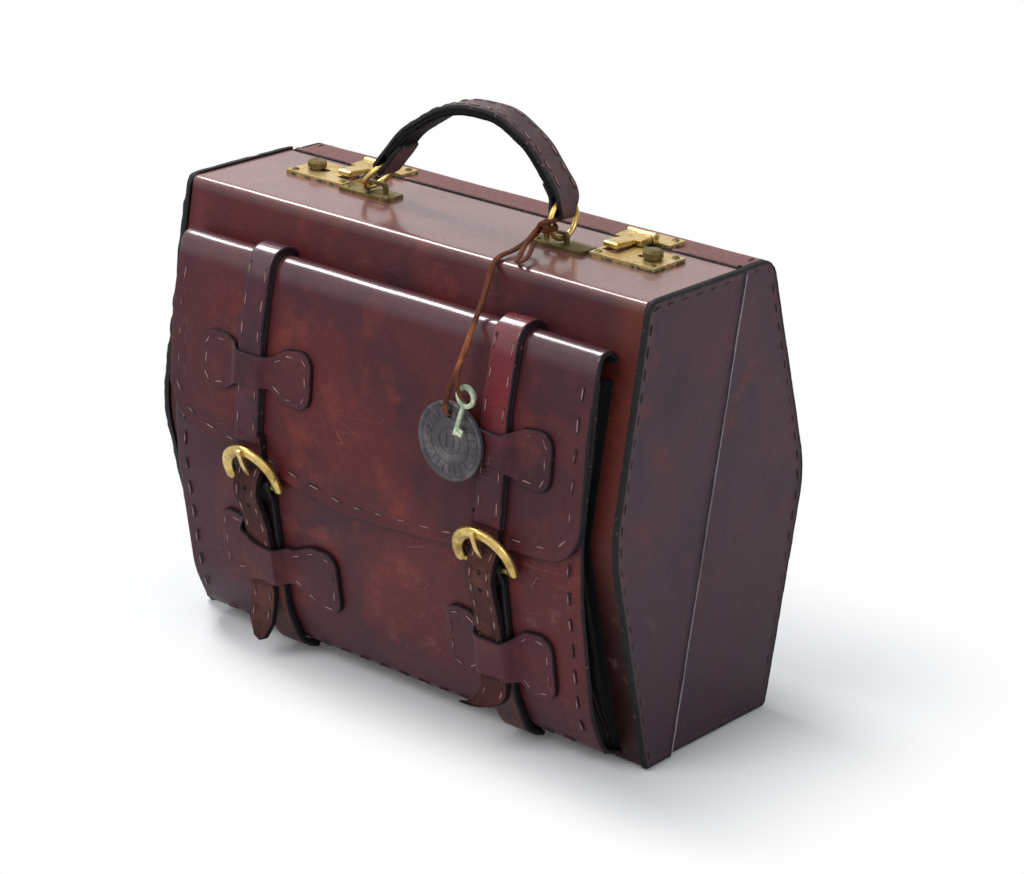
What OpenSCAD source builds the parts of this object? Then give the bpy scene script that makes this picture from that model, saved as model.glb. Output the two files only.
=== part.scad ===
// Hand-stitched leather case of two shells, with a strapped front pocket.
// X runs to the right, Y to the back and Z up. The origin is the centre of the base.
// Side profiles are lists of [y, z] points that run anticlockwise seen from the right end.

/* [Case] */
// Length of the case along X
case_w = 440; // [360:1:520]
// Height of the case
case_h = 350; // [300:1:400]
// Height of the widest place of the side profile
waist_z = 178; // [150:1:200]
// Reach of the front face at the top edge
front_top = 88.5; // [80:0.5:95]
// Reach of the front face at the waist
front_waist = 117.5; // [110:0.5:125]
// Reach of the base to the front and to the back
base_reach = 72.5; // [66:0.5:78]
// Reach of the rear face at the waist
rear_waist = 106.5; // [95:0.5:115]
// Reach of the rear face at the top edge
rear_top = 54.5; // [48:0.5:62]
// Place of the seam between the shells at the top, along Y
seam_top = 15.5; // [8:0.5:20]
// Place of the seam between the shells at the base, in front of the centre
seam_base = 47.5; // [44:0.5:50]
// Thickness of the leather skin
skin = 3; // [2:0.1:4]
// Thickness of the board and lining inside the skin
board = 3; // [2:0.1:4]
// How far the front end panels stand proud of the profile
end_ridge = 1.5; // [0.5:0.1:2.5]
// How far the front end panels reach back over the seam
end_overlap = 3; // [1:0.5:6]
// Width of the leather strip that hinges the shells under the seam
hinge_w = 24; // [18:1:26]

/* [Pocket] */
// Distance of the pocket's ends from the case's ends
pocket_inset = 21; // [20:1:50]
// Thickness of the pocket leather
pocket_t = 4; // [3:0.1:5]
// Height of the pocket mouth
mouth_z = 296; // [285:1:300]
// Reach of the pocket mouth to the front
mouth_reach = 116.4; // [115:0.1:117]
// Thickness of a gusset leaf
gusset_t = 2.2; // [1.6:0.1:2.6]
// Depth of the gusset fold towards the middle
gusset_fold = 13; // [8:0.5:18]

/* [Flap] */
// How far the flap's ends reach past the pocket's ends
flap_overhang = 2; // [0:0.5:6]
// Thickness of the flap leather
flap_t = 3.5; // [2.5:0.1:4]
// Height of the top of the fold
fold_z = 317; // [312:0.5:322]
// Height where the flap is stitched to the case
root_z = 268; // [262:1:280]
// Height below which the hem bends past the buckles
hem_z = 182; // [181:1:190]

/* [Straps] */
// Width of the straps, billets and chapes
strap_w = 25; // [20:0.5:28]
// Thickness of the doubled strap
strap_t = 6; // [5:0.1:6.4]
// Thickness of the single billet
billet_t = 4; // [3:0.1:4.2]
// Thickness of the folded chape
chape_t = 5; // [4:0.1:5]
// Thickness of a keeper
keeper_t = 3; // [2:0.1:3.5]
// Centre of the left strap along X
strap_left_x = -113; // [-120:0.5:-106]
// Centre of the right strap along X
strap_right_x = 123; // [116:0.5:130]

/* [Buckles] */
// Outer width of a buckle
buckle_w = 57; // [54:0.5:64]
// Width of the buckle's band
band_w = 9.5; // [7:0.1:10]
// Thickness of the buckle's band
band_t = 4.8; // [3.5:0.1:5]
// Radius of the bar that the chape holds
bar_r = 2; // [1.5:0.05:2.2]
// Height of the bar above the base
bar_z = 146; // [144:0.5:148]
// Lean of the buckle away from the pocket
buckle_lean = 24; // [23:0.5:28]
// Centre of the left buckle along X
buckle_left_x = -109; // [-113:0.5:-105]
// Centre of the right buckle along X
buckle_right_x = 119; // [115:0.5:123]

/* [Handle] */
// Gap between a handle plate and the lock plate beside it
base_gap = 2; // [1:0.5:6]
// Radius of a ring to the middle of its wire
ring_r = 14; // [13.6:0.1:15]
// Radius of the ring's wire
wire_r = 2.1; // [1.7:0.05:2.2]
// Lean of the left ring towards the handle
left_lean = 40; // [30:1:42]
// Width of the handle strap
handle_w = 22.5; // [18:0.5:22.8]
// Thickness of the outer handle layer
handle_t = 3; // [2.5:0.1:3.2]
// Thickness of the filler inside the handle
handle_fill = 5; // [4.8:0.1:6]
// Height of the top of the handle above the case
handle_rise = 89; // [80:1:100]

/* [Locks] */
// Thickness of the brass plates
plate_t = 3; // [2:0.1:3.2]
// Length of a lock plate along X
plate_w = 58; // [54:0.5:60]
// Depth of a lock plate along Y
plate_d = 35.5; // [33:0.5:38]
// Diameter of the sliding knob
knob_d = 14.5; // [11:0.5:15]
// Travel of the sliding knob
knob_travel = 10; // [4:0.5:11]
// Radius of the hasp's hinge pin
pin_r = 1.6; // [1.2:0.05:1.9]
// Outer radius of the hasp's barrel
barrel_r = 3.8; // [3.4:0.05:4]
// Distance of the sliding knobs' middle from the case's ends
knob_inset = 59; // [55:0.5:64]
// Length of the hasp in front of its pin
hasp_reach = 37; // [34:0.5:38]

/* [Tag] */
// Diameter of the hanging tag
tag_d = 58; // [50:0.5:60]
// Thickness of the tag
tag_t = 3; // [2:0.1:3]
// Radius of the thong
thong_r = 1.7; // [1.4:0.1:1.9]

/* [Hidden] */
$fn = 48;

// clearances
seam_gap = 0.3;       // between the two shells along the seam
layer_gap = 0.15;     // between two leather layers that lie on each other
soft_gap = 0.3;       // between curved leather faces
run_gap = 0.1;        // between a pin or bar and the bore round it
side_gap = 0.3;       // beside a moving piece
arc_step = 7;         // largest turn of one facet of a rounded profile corner
far = 600;            // larger than the case

// colours
oxblood = "#5e2b2b";
dusk = "#4b2f38";
suede = "#6a4136";
dark_edge = "#23242c";
lining = "#8c7358";
brass = "#b3924a";
old_brass = "#7d6a3a";
tag_grey = "#33333a";

// profile geometry
function unit(v) = v / norm(v);
function turned(v) = [-v.y, v.x];
function spun(v, a) = [v.x * cos(a) - v.y * sin(a), v.x * sin(a) + v.y * cos(a)];
function backwards(p) = [for (i = [len(p) - 1:-1:0]) p[i]];
// moves a path sideways by d, to the left of its direction of travel
function shifted(p, d, closed) =
    let (n = len(p))
    [for (i = [0:n - 1])
        let (before = closed || i > 0 ? unit(p[i] - p[(i + n - 1) % n]) : unit(p[1] - p[0]),
             after = closed || i < n - 1 ? unit(p[(i + 1) % n] - p[i]) : before,
             a = turned(before),
             b = turned(after))
        p[i] + d * (a + b) / (1 + a * b)];
// points of the arc of radius r that rounds the corner b between a and c
function corner(a, b, c, r) =
    let (u = unit(a - b),
         w = unit(c - b),
         half = acos(u * w) / 2,
         middle = b + unit(u + w) * r / sin(half),
         start = b + u * r / tan(half) - middle,
         turn = (u.x * w.y - u.y * w.x > 0 ? -1 : 1) * (180 - 2 * half),
         steps = max(1, ceil(abs(turn) / arc_step)))
    [for (k = [0:steps]) middle + spun(start, turn * k / steps)];
function rounded(p, radii, closed) =
    let (n = len(p))
    [for (i = [0:n - 1])
        each radii[i] > 0 && (closed || (i > 0 && i < n - 1))
            ? corner(p[(i + n - 1) % n], p[i], p[(i + 1) % n], radii[i])
            : [p[i]]];
// how much of a leg the arc of radius r takes up at the corner b between a and c
function taken(a, b, c, r) = r / tan(acos(unit(a - b) * unit(c - b)) / 2);
// radii of an open path, drawn in where two arcs would not fit on the leg between them
function fitted(p, radii) =
    let (last = len(p) - 1,
         t = [for (i = [0:last]) i == 0 || i == last ? 0 : taken(p[i - 1], p[i], p[i + 1], radii[i])],
         room = [for (i = [0:last - 1]) 0.98 * norm(p[i + 1] - p[i]) / max(t[i] + t[i + 1], run_gap)])
    [for (i = [0:last]) radii[i] * min(1, room[max(i - 1, 0)], room[min(i, last - 1)])];
// outline of a layer that lies between the distances low and high outside an open path
function layer(path, low, high) =
    concat(shifted(path, -low, false), backwards(shifted(path, -high, false)));

// extrudes a [y, z] profile along X, and an [x, z] outline along Y
module along_x(from, to) translate([from, 0, 0]) rotate([90, 0, 90]) linear_extrude(to - from) children();
module along_y(from, to) translate([0, to, 0]) rotate([90, 0, 0]) linear_extrude(to - from) children();
module bar_along_x(x, y, z, r, length)
    translate([x - length / 2, y, z]) rotate([0, 90, 0]) cylinder(r = r, h = length);

// the case: sharp profile, corner radii and the seam
case_points = [[-front_top, case_h], [-front_waist, waist_z], [-base_reach, 0],
    [base_reach, 0], [rear_waist, waist_z], [rear_top, case_h]];
case_radii = [3, 110, 6, 5, 90, 16];
end_radii = [10, 110, 6, 5, 90, 16];
function inside_case(d, radii) =
    rounded(shifted(case_points, d, true), [for (r = radii) max(r - d, 0)], true);
function seam_y(z) = -seam_base + (seam_top + seam_base) * z / case_h;
function front_y(z) = lookup(z, [[0, -base_reach], [waist_z, -front_waist], [case_h, -front_top]]);
module case_face(d) polygon(inside_case(d, case_radii));
module front_side(d)
    polygon([[-far, -far], [seam_y(-far) - d, -far], [seam_y(far) - d, far], [-far, far]]);
// a panel of the skin's thickness, standing outside x = half on one side
module side_panel(side, half)
    translate([side > 0 ? 0 : -2 * half - skin, 0, 0]) along_x(half, half + skin) children();
module rear_side(d)
    polygon([[far, -far], [far, far], [seam_y(far) + d, far], [seam_y(-far) + d, -far]]);

front_half = case_w / 2 - skin;                  // inner face of the front end panels
rear_half = front_half - side_gap - skin;        // inner face of the rear end panels
hinge_front = -seam_base - hinge_w / 2;

pocket_w = case_w - 2 * pocket_inset;
flap_w = pocket_w + 2 * flap_overhang;

// hardware on the top face, which sits 3 mm to the right of the middle
top_shift = 3;
knob_offset = case_w / 2 - knob_inset;
lock_offset = knob_offset - 14;                  // middle of a lock plate
hasp_offset = knob_offset - 33.5;                // middle of a hasp
base_w = 48;                                     // length of a handle plate
// half the distance between the two rings
ring_span = lock_offset - plate_w / 2 - base_gap - base_w / 2;
lock_rear = 2;                                   // rear edge of a lock plate along Y
hasp_pin_y = seam_top - 0.5;
hasp_pin_z = case_h + 6.5;
knuckle_w = 8;
barrel_w = 24;
hasp_tip_w = 12;
hasp_root_w = 23;
hasp_step_y = -2;                                // where the hasp widens
rear_plate_w = 46;
rear_plate_y = [seam_top + 1, seam_top + 19];
plate_top = case_h + plate_t;
neck_r = 2.5;
screw_r = 1.5;
screw_head_r = 3;
screw_grip = skin + board + 1.5;
bolt = [14, 10, 2.4];                            // sliding bolt under a lock plate
bolt_room = 1;                                   // room round the bolt in the leather

// a side is -1 on the left and 1 on the right
function lock_x(side) = side * lock_offset + top_shift;
function hasp_x(side) = side * hasp_offset + top_shift;
function knob_x(side) = side * knob_offset + top_shift;
knob_y = lock_rear - plate_d / 2;
function lock_screw_places(side) =
    [[lock_x(side) + side * 24, knob_y + 13], [lock_x(side) + side * 24, knob_y - 13],
     [lock_x(side) - side * 24, knob_y - 13], [lock_x(side) - side * 2, knob_y + 13]];
function rear_screw_places(side) =
    [[hasp_x(side) - 18, rear_plate_y[1] - 5], [hasp_x(side) + 18, rear_plate_y[1] - 5]];
function base_screw_places(side) =
    [[ring_x(side) - 20, ring_y - 4], [ring_x(side) + 20, ring_y - 4]];

module screw(place)
    color(old_brass) translate([place.x, place.y, 0]) {
        translate([0, 0, case_h - screw_grip]) cylinder(r = screw_r, h = screw_grip + plate_t + 0.5);
        difference() {
            translate([0, 0, plate_top]) cylinder(r1 = screw_head_r, r2 = screw_head_r - 0.8, h = 1);
            translate([-far, -0.35, plate_top + 0.5]) cube([2 * far, 0.7, far]);
        }
    }
module screw_holes(places)
    for (place = places)
        translate([place.x, place.y, case_h - screw_grip - 0.5])
            cylinder(r = screw_r + run_gap, h = screw_grip + plate_t + 1);

// the rear shell
module rear_cover()
    color(oxblood) difference() {
        along_x(-rear_half, rear_half) intersection() {
            difference() {
                case_face(0);
                case_face(skin);
            }
            rear_side(seam_gap / 2);
        }
        translate([-far, hinge_front, -1]) cube([2 * far, hinge_w, skin + 1]);
        for (side = [-1, 1]) screw_holes(rear_screw_places(side));
    }
module rear_end(side)
    color(dusk) side_panel(side, rear_half)
        intersection() {
            case_face(0);
            rear_side(seam_gap / 2);
        }
module rear_tray()
    color(lining) difference() {
        along_x(-rear_half, rear_half) intersection() {
            case_face(skin + layer_gap);
            rear_side(seam_gap / 2);
        }
        along_x(-rear_half + board, rear_half - board) case_face(skin + board);
        for (side = [-1, 1]) screw_holes(rear_screw_places(side));
    }
module bottom_hinge()
    color(oxblood) translate([-rear_half, hinge_front + layer_gap, 0])
        cube([2 * rear_half, hinge_w - 2 * layer_gap, skin]);

// the front shell
module front_cover()
    color(oxblood) difference() {
        along_x(-front_half, front_half) intersection() {
            difference() {
                case_face(0);
                case_face(skin);
            }
            front_side(seam_gap / 2);
        }
        translate([-far, hinge_front, -1]) cube([2 * far, hinge_w, skin + 1]);
        for (side = [-1, 1]) {
            screw_holes(lock_screw_places(side));
            screw_holes(base_screw_places(side));
            // room for the bolt under the lock plate
            translate([min(knob_x(side), knob_x(side) - side * knob_travel) - bolt.x / 2 - bolt_room,
                knob_y - bolt.y / 2 - bolt_room, case_h - skin - 1])
                cube([knob_travel + bolt.x + 2 * bolt_room, bolt.y + 2 * bolt_room, skin + 2]);
        }
    }
module front_end(side)
    color(dusk) side_panel(side, front_half)
        intersection() {
            polygon(inside_case(-end_ridge, end_radii));
            front_side(-end_overlap);
            translate([-far, 0]) square(2 * far);
        }
module front_tray()
    color(lining) difference() {
        along_x(-front_half, front_half) intersection() {
            case_face(skin + layer_gap);
            front_side(seam_gap / 2);
        }
        along_x(-front_half + board, front_half - board) case_face(skin + board);
        for (side = [-1, 1]) {
            screw_holes(lock_screw_places(side));
            screw_holes(base_screw_places(side));
        }
    }

// the locks
slot_r = neck_r + side_gap;
module lock_plate(side)
    color(brass) difference() {
        translate([lock_x(side) - plate_w / 2, lock_rear - plate_d, case_h])
            cube([plate_w, plate_d, plate_t]);
        screw_holes(lock_screw_places(side));
        // slot of the sliding knob
        for (travel = [0, knob_travel])
            translate([knob_x(side) - side * travel, knob_y, case_h - 1])
                cylinder(r = slot_r, h = plate_t + 2);
        translate([min(knob_x(side), knob_x(side) - side * knob_travel), knob_y - slot_r, case_h - 1])
            cube([knob_travel, 2 * slot_r, plate_t + 2]);
        // slot that takes the hasp's tip
        translate([hasp_x(side) - hasp_tip_w / 2 - 1, hasp_pin_y - hasp_reach - 0.5, case_h - 1])
            cube([hasp_tip_w + 2, far, plate_t + 2]);
    }
module slider(side)
    color(old_brass) translate([knob_x(side), knob_y, 0]) {
        translate([0, 0, case_h - bolt.z]) cylinder(r = neck_r, h = plate_t + 3);
        translate([0, 0, plate_top + side_gap]) cylinder(r = knob_d / 2 - 1, h = 1.2);
        translate([0, 0, plate_top + 1.5]) cylinder(d = knob_d, h = 3.6);
        translate([0, 0, plate_top + 5.1]) cylinder(r1 = knob_d / 2, r2 = knob_d / 2 - 1.9, h = 1.9);
        // bolt under the plate
        translate([-bolt.x / 2, -bolt.y / 2, case_h - side_gap - bolt.z]) cube(bolt);
    }
module hasp_plate(side)
    color(brass) difference() {
        union() {
            translate([hasp_x(side) - rear_plate_w / 2, rear_plate_y[0], case_h])
                cube([rear_plate_w, rear_plate_y[1] - rear_plate_y[0], plate_t]);
            for (end = [-1, 1])
                translate([hasp_x(side) + end * (barrel_w + knuckle_w + side_gap) / 4, 0, 0])
                    along_x(-(barrel_w - knuckle_w - side_gap) / 4, (barrel_w - knuckle_w - side_gap) / 4)
                        union() {
                            translate([hasp_pin_y, hasp_pin_z]) circle(barrel_r);
                            polygon([[hasp_pin_y, hasp_pin_z], [hasp_pin_y + barrel_r + 1.5, plate_top - 1],
                                [rear_plate_y[0], plate_top - 1]]);
                        }
        }
        bar_along_x(hasp_x(side), hasp_pin_y, hasp_pin_z, pin_r + run_gap / 2, 2 * barrel_w);
        translate([hasp_x(side) - knuckle_w / 2 - side_gap, rear_plate_y[0] - 1, case_h - 1])
            cube([knuckle_w + 2 * side_gap, 4, plate_t + 2]);
        screw_holes(rear_screw_places(side));
    }
module hasp_pins()
    color(old_brass) for (side = [-1, 1])
        bar_along_x(hasp_x(side), hasp_pin_y, hasp_pin_z, pin_r, barrel_w);
module hasp(side) {
    tip_y = hasp_pin_y - hasp_reach;
    clear_y = hasp_pin_y - barrel_r - 0.4;
    color(brass) difference() {
        union() {
            // narrow tip that lies over the plate's slot
            translate([hasp_x(side), 0, 0]) along_x(-hasp_tip_w / 2, hasp_tip_w / 2)
                polygon([[tip_y, case_h + 5.2], [hasp_step_y, case_h + 4.1], [hasp_step_y, case_h + 8.2],
                    [tip_y + 1.5, case_h + 9.3], [tip_y, case_h + 8.3]]);
            // wide root
            translate([hasp_x(side), 0, 0]) along_x(-hasp_root_w / 2, hasp_root_w / 2)
                polygon([[hasp_step_y, case_h + 4.1], [clear_y, case_h + 3.6], [clear_y, case_h + 8.6],
                    [hasp_step_y, case_h + 8.2]]);
            // middle knuckle and its tongue
            translate([hasp_x(side), 0, 0]) along_x(-knuckle_w / 2, knuckle_w / 2) {
                translate([hasp_pin_y, hasp_pin_z]) circle(barrel_r);
                translate([clear_y, case_h + 3.6]) square([hasp_pin_y - clear_y, 5]);
            }
        }
        bar_along_x(hasp_x(side), hasp_pin_y, hasp_pin_z, pin_r + run_gap, 2 * barrel_w);
    }
}

// the handle, its rings and the bails that hold them
ring_y = -30.5;
eye_z = plate_top + 3.2;
swing_z = eye_z + ring_r;
lug_w = 21.5;
lug_t = 3;
lug_h = 8.2;
eye_w = 15.5;
base_d = 18;
fold_in = handle_fill / 2;                       // inner radius of the strap's turned ends
function ring_x(side) = side * ring_span + top_shift;
function ring_lean(side) = side < 0 ? left_lean : 0;
module ring(side)
    color(old_brass) translate([ring_x(side), ring_y, eye_z]) rotate([0, ring_lean(side), 0])
        translate([0, 0, ring_r]) rotate([0, 90, 0])
            rotate_extrude($fn = 72) translate([ring_r, 0]) circle(wire_r, $fn = 24);
// middle of a bail: its outer edge stands lug_edge outside the middle of the ring's wire
lug_edge = 5.2;
function lug_x(side) = ring_x(side) - side * (lug_w / 2 - lug_edge);
// arch of a bail or of the eye in it, as [x, z]
module bail_arch(wide, low, high, r) {
    corners = [[-wide / 2, low], [wide / 2, low], [wide / 2, high], [-wide / 2, high]];
    polygon(rounded(corners, [0, 0, r, r], true));
}
module handle_base(side)
    color(brass) difference() {
        union() {
            translate([ring_x(side) - base_w / 2, ring_y - base_d / 2, case_h])
                cube([base_w, base_d, plate_t]);
            translate([lug_x(side), 0, 0]) along_y(ring_y - lug_t / 2, ring_y + lug_t / 2)
                bail_arch(lug_w, plate_top - 1, plate_top + lug_h, 4);
        }
        translate([lug_x(side), 0, 0]) along_y(ring_y - lug_t, ring_y + lug_t)
            bail_arch(eye_w, plate_top, plate_top + lug_h - 2.4, 2);
        screw_holes(base_screw_places(side));
    }

// outer face of the handle strap, from the left end over the top to the right end
left_u = [sin(left_lean), cos(left_lean)];       // direction of the leaning ring in [x, z]
left_v = [-left_u.y, left_u.x];                  // outward from it
strap_stand = fold_in + handle_t;                // outer face to the middle of the wire
left_eye = [ring_x(-1), eye_z];
left_fold = left_eye + left_u * (ring_r + 9.3);
left_start = left_fold + left_v * strap_stand;
right_fold = [ring_x(1), swing_z + 5];
right_end = right_fold + [strap_stand, 0];
handle_top = case_h + handle_rise;
arch_h = handle_top - right_end.y;               // height of the arch over its right end
left_straight = 0.446 * ring_span;               // straight run of the strap above the left ring
// corners of the arch between the straight ends, as [share of ring_span, share of arch_h]
arch_shape = [[-0.25, 0.861], [0.011, 1], [0.424, 1], [0.761, 0.735]];
arch_radii = [0, 0.652, 0.761, 0.87, 0.543, 0.652, 0.217, 0];
arch_points = concat([left_start, left_start + left_u * left_straight],
    [for (p = arch_shape) [top_shift + p.x * ring_span, right_end.y + p.y * arch_h]],
    [[right_end.x, right_end.y + 0.25 * arch_h], right_end]);
arch = rounded(arch_points, fitted(arch_points, arch_radii * ring_span), false);
return_run = 30;                                 // length of the strap's end turned back inside
function length_to(p, i) = i == 0 ? 0 : norm(p[i] - p[i - 1]) + length_to(p, i - 1);
// the first points of a path, up to the given length
function first_run(p, length) =
    [for (i = [0:len(p) - 1]) if (i == 0 || length_to(p, i - 1) < length)
        i == 0 || length_to(p, i) <= length ? p[i]
            : p[i - 1] + unit(p[i] - p[i - 1]) * (length - length_to(p, i - 1))];
function last_run(p, length) = backwards(first_run(backwards(p), length));
function path_length(p) = length_to(p, len(p) - 1);
return_in = 2 * handle_t + handle_fill;          // face of the turned-back end, inside the arch
// half turn of the strap's outer face round the middle of a fold
function turned_end(centre, start) =
    [for (a = [15:15:165]) centre + spun(start * strap_stand, -a)];
strap_face = concat(
    backwards(shifted(first_run(arch, return_run), -return_in, false)),
    turned_end(left_fold, -left_v),
    arch,
    turned_end(right_fold, [1, 0]),
    backwards(shifted(last_run(arch, return_run), -return_in, false)));
end_r = 8;                                       // rounding of the strap's turned ends
end_off = 0.2;                                   // keeps the rounding off the strap's own faces
// what is cut off a corner of radius end_r about the origin
end_corner = concat([[end_r + 1, -end_r - 1], [end_r + 1, 0]],
    [for (a = [0:-15:-90]) end_r * [cos(a), sin(a)]], [[0, -end_r - 1]]);
// cuts that round both corners of a turned end
module end_cuts(fold, lean)
    translate([fold.x, ring_y, fold.y]) rotate([0, lean, 0]) for (edge = [-1, 1])
        along_x(-2 * strap_stand, 2 * strap_stand)
            translate([edge * (handle_w / 2 - end_r + end_off), end_r - strap_stand - end_off])
                polygon([for (p = end_corner) [edge * p.x, p.y]]);
module handle_strap()
    color(dusk) difference() {
        along_y(ring_y - handle_w / 2, ring_y + handle_w / 2) polygon(layer(strap_face, 0, handle_t));
        end_cuts(left_fold, left_lean);
        end_cuts(right_fold, 0);
    }
core_start = 16;                                 // clears the ring's wire in the strap's end
module handle_core() {
    rest = last_run(arch, path_length(arch) - core_start);
    middle = first_run(rest, path_length(rest) - core_start);
    color(dark_edge) along_y(ring_y - handle_w / 2 + 0.3, ring_y + handle_w / 2 - 0.3)
        polygon(layer(middle, handle_t, handle_t + handle_fill));
}

// the pocket, seen from the side, from its mouth down to the case's bottom edge
pocket_points = [[-mouth_reach, mouth_z], [-128.5, 182], [-126.5, 136], [-111, 44], [-96, 12], [-70, 2.4]];
pocket_path = rounded(pocket_points, [0, 150, 200, 80, 25, 0], false);
function pocket_y(z) = lookup(z, [for (p = pocket_points) [p.y, p.x]]);
module pocket_front()
    color(oxblood) along_x(-pocket_w / 2, pocket_w / 2) difference() {
        polygon(layer(pocket_path, 0, -pocket_t));
        case_face(-soft_gap);
    }
// folded side leaf of the pocket: V-shaped sections from the mouth down
gusset_levels = [mouth_z - 3, 262, 222, 182, 136, 90, 60, 44, 30, 18];
function gusset_section(z) =
    let (front = pocket_y(z) + pocket_t + 0.6,
         rear = front_y(z) - soft_gap,
         edge = pocket_w / 2 - 0.3,
         middle = (front + rear) / 2)
    [[edge, front, z], [edge - gusset_fold, middle, z], [edge, rear, z],
     [edge, rear - gusset_t, z], [edge - gusset_fold + 2 * gusset_t, middle, z],
     [edge, front + gusset_t, z]];
module gusset_right() {
    sections = [for (z = gusset_levels) gusset_section(z)];
    count = len(sections);
    points = [for (s = sections) each s];
    sides = [for (i = [0:count - 2], k = [0:5]) each
        [[6 * i + k, 6 * (i + 1) + (k + 1) % 6, 6 * i + (k + 1) % 6],
         [6 * i + k, 6 * (i + 1) + k, 6 * (i + 1) + (k + 1) % 6]]];
    cap = [[0, 1, 4], [0, 4, 5], [1, 2, 3], [1, 3, 4]];
    foot = [for (t = cap) [for (k = [2, 1, 0]) t[k] + 6 * (count - 1)]];
    color(dark_edge) polyhedron(points, concat(sides, cap, foot));
}
module gusset_left() mirror([1, 0, 0]) gusset_right();

// the flap, from its stitched root up the case, over the fold and down the pocket
flap_gap = 0.4;                                  // between the flap and the pocket
flap_swell = 3.2;                                // extra room near the fold
fold_reach = 22;                                 // how far the fold stands out from the case
swell_z = 262;                                   // where that room is widest
level_z = 180;                                   // where the flap starts to lie on the pocket
flap_end_z = 138;                                // lower than the hem's lowest place
flap_points = [[front_y(root_z), root_z], [front_y(fold_z), fold_z], [front_y(fold_z) - fold_reach, fold_z],
    [pocket_y(swell_z) - flap_t - flap_swell, swell_z],
    [pocket_y(level_z) - flap_t - flap_gap, level_z],
    [pocket_y(flap_end_z) - flap_t - flap_gap, flap_end_z]];
flap_path = rounded(flap_points, [0, 10.5, 10.5, 80, 120, 0], false);
flap_y = -106;                                   // the line that the flap turns about
flap_turn_z = fold_z - 12;
function flap_face_y(z) =
    lookup(z, [for (i = [5:-1:3]) [flap_points[i].y, flap_points[i].x]]);
// lower edge of the flap seen from the front, from left to right
hem_shape = [[-1, 202], [-0.945, 181], [-0.836, 170], [-0.363, 152], [-0.0945, 142], [0.403, 149],
    [0.622, 162], [0.856, 166], [0.95, 180], [1, 202]];
hem_points = [for (p = hem_shape) [p.x * flap_w / 2, p.y]];
hem_radii = [0, 20, 40, 80, 80, 80, 60, 25, 20, 0];
module flap_front_view()
    polygon(concat(rounded(hem_points, hem_radii, false), [[flap_w / 2, far], [-flap_w / 2, far]]));
module flap_strip() polygon(layer(flap_path, layer_gap - flap_gap / 2, -flap_t));
module below(z) translate([-far, z - 2 * far]) square([2 * far, 2 * far]);
module above(z) translate([-far, z]) square([2 * far, 2 * far]);
module before_turn() translate([flap_y - far, -far]) square([far, 2 * far]);
root_w = pocket_w - 2 * (gusset_fold + 1);       // the root fits between the gussets
module flap_root()
    color(oxblood) along_x(-root_w / 2, root_w / 2) difference() {
        intersection() {
            flap_strip();
            below(flap_turn_z);
        }
        before_turn();
        case_face(0);
    }
module flap_fold()
    color(oxblood) along_x(-flap_w / 2, flap_w / 2) difference() {
        intersection() {
            flap_strip();
            above(flap_turn_z);
        }
        case_face(0);
    }
module flap_part()
    intersection() {
        along_x(-flap_w / 2, flap_w / 2) intersection() {
            flap_strip();
            before_turn();
            children();
        }
        along_y(-far, far) flap_front_view();
    }
module flap()
    color(oxblood) flap_part() intersection() {
        below(flap_turn_z);
        above(hem_z);
    }
module flap_hem() color(oxblood) flap_part() below(hem_z);

// straps on the flap, billets and chapes
strap_end_z = hem_z + 2;
function strap_x(side) = side < 0 ? strap_left_x : strap_right_x;
function buckle_x(side) = side < 0 ? buckle_left_x : buckle_right_x;
module strap_strip() polygon(layer(flap_path, layer_gap, layer_gap + strap_t));
module strap_run(side) translate([strap_x(side), 0, 0]) along_x(-strap_w / 2, strap_w / 2) children();
module strap_fold(side)
    color(oxblood) strap_run(side) difference() {
        intersection() {
            strap_strip();
            above(flap_turn_z);
        }
        case_face(-soft_gap);
    }
module strap(side)
    color(oxblood) strap_run(side) intersection() {
        strap_strip();
        before_turn();
        below(flap_turn_z);
        above(strap_end_z);
    }
bar_y = pocket_y(bar_z) - chape_t - 0.4;         // middle of the buckle's bar
eye_r = chape_t + 0.2;                           // outer radius of the chape round the bar
billet_end_z = 14;
billet_top_y = flap_face_y(strap_end_z) - layer_gap;
billet_over_y = bar_y - eye_r - soft_gap;        // inner face of the billet in front of the chape's eye
billet_points = [[billet_top_y, strap_end_z], [billet_top_y, bar_z + 15], [billet_over_y, bar_z + 4],
    [billet_over_y, bar_z - 5], [pocket_y(112) - chape_t - 0.5, 112],
    [pocket_y(50) - chape_t - 0.9, 50], [pocket_y(50) - chape_t - 1, billet_end_z]];
billet_tip = [[-strap_w / 2, far], [-strap_w / 2, billet_end_z + 14], [-6, billet_end_z + 2],
    [0, billet_end_z], [6, billet_end_z + 2], [strap_w / 2, billet_end_z + 14], [strap_w / 2, far]];
billet_path = rounded(billet_points, [0, 12, 12, 12, 60, 60, 0], false);
prong_w = 4;
function billet_x(side) = buckle_x(side) + side;
module billet(side)
    color(suede) difference() {
        intersection() {
            translate([billet_x(side), 0, 0]) along_x(-strap_w / 2, strap_w / 2)
                polygon(layer(billet_path, 0, billet_t));
            translate([billet_x(side), 0, 0]) along_y(-far, 0) polygon(billet_tip);
        }
        translate([buckle_x(side) - prong_w / 2 - side_gap, -far, bar_z])
            cube([prong_w + 2 * side_gap, far, 18]);
    }
function chape_x(side) = buckle_x(side) + (side < 0 ? 5 : 2);
chape_path = concat([[pocket_y(bar_z), bar_z]], [for (p = pocket_path) if (p.y < bar_z - 1 && p.y > 8) p]);
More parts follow.
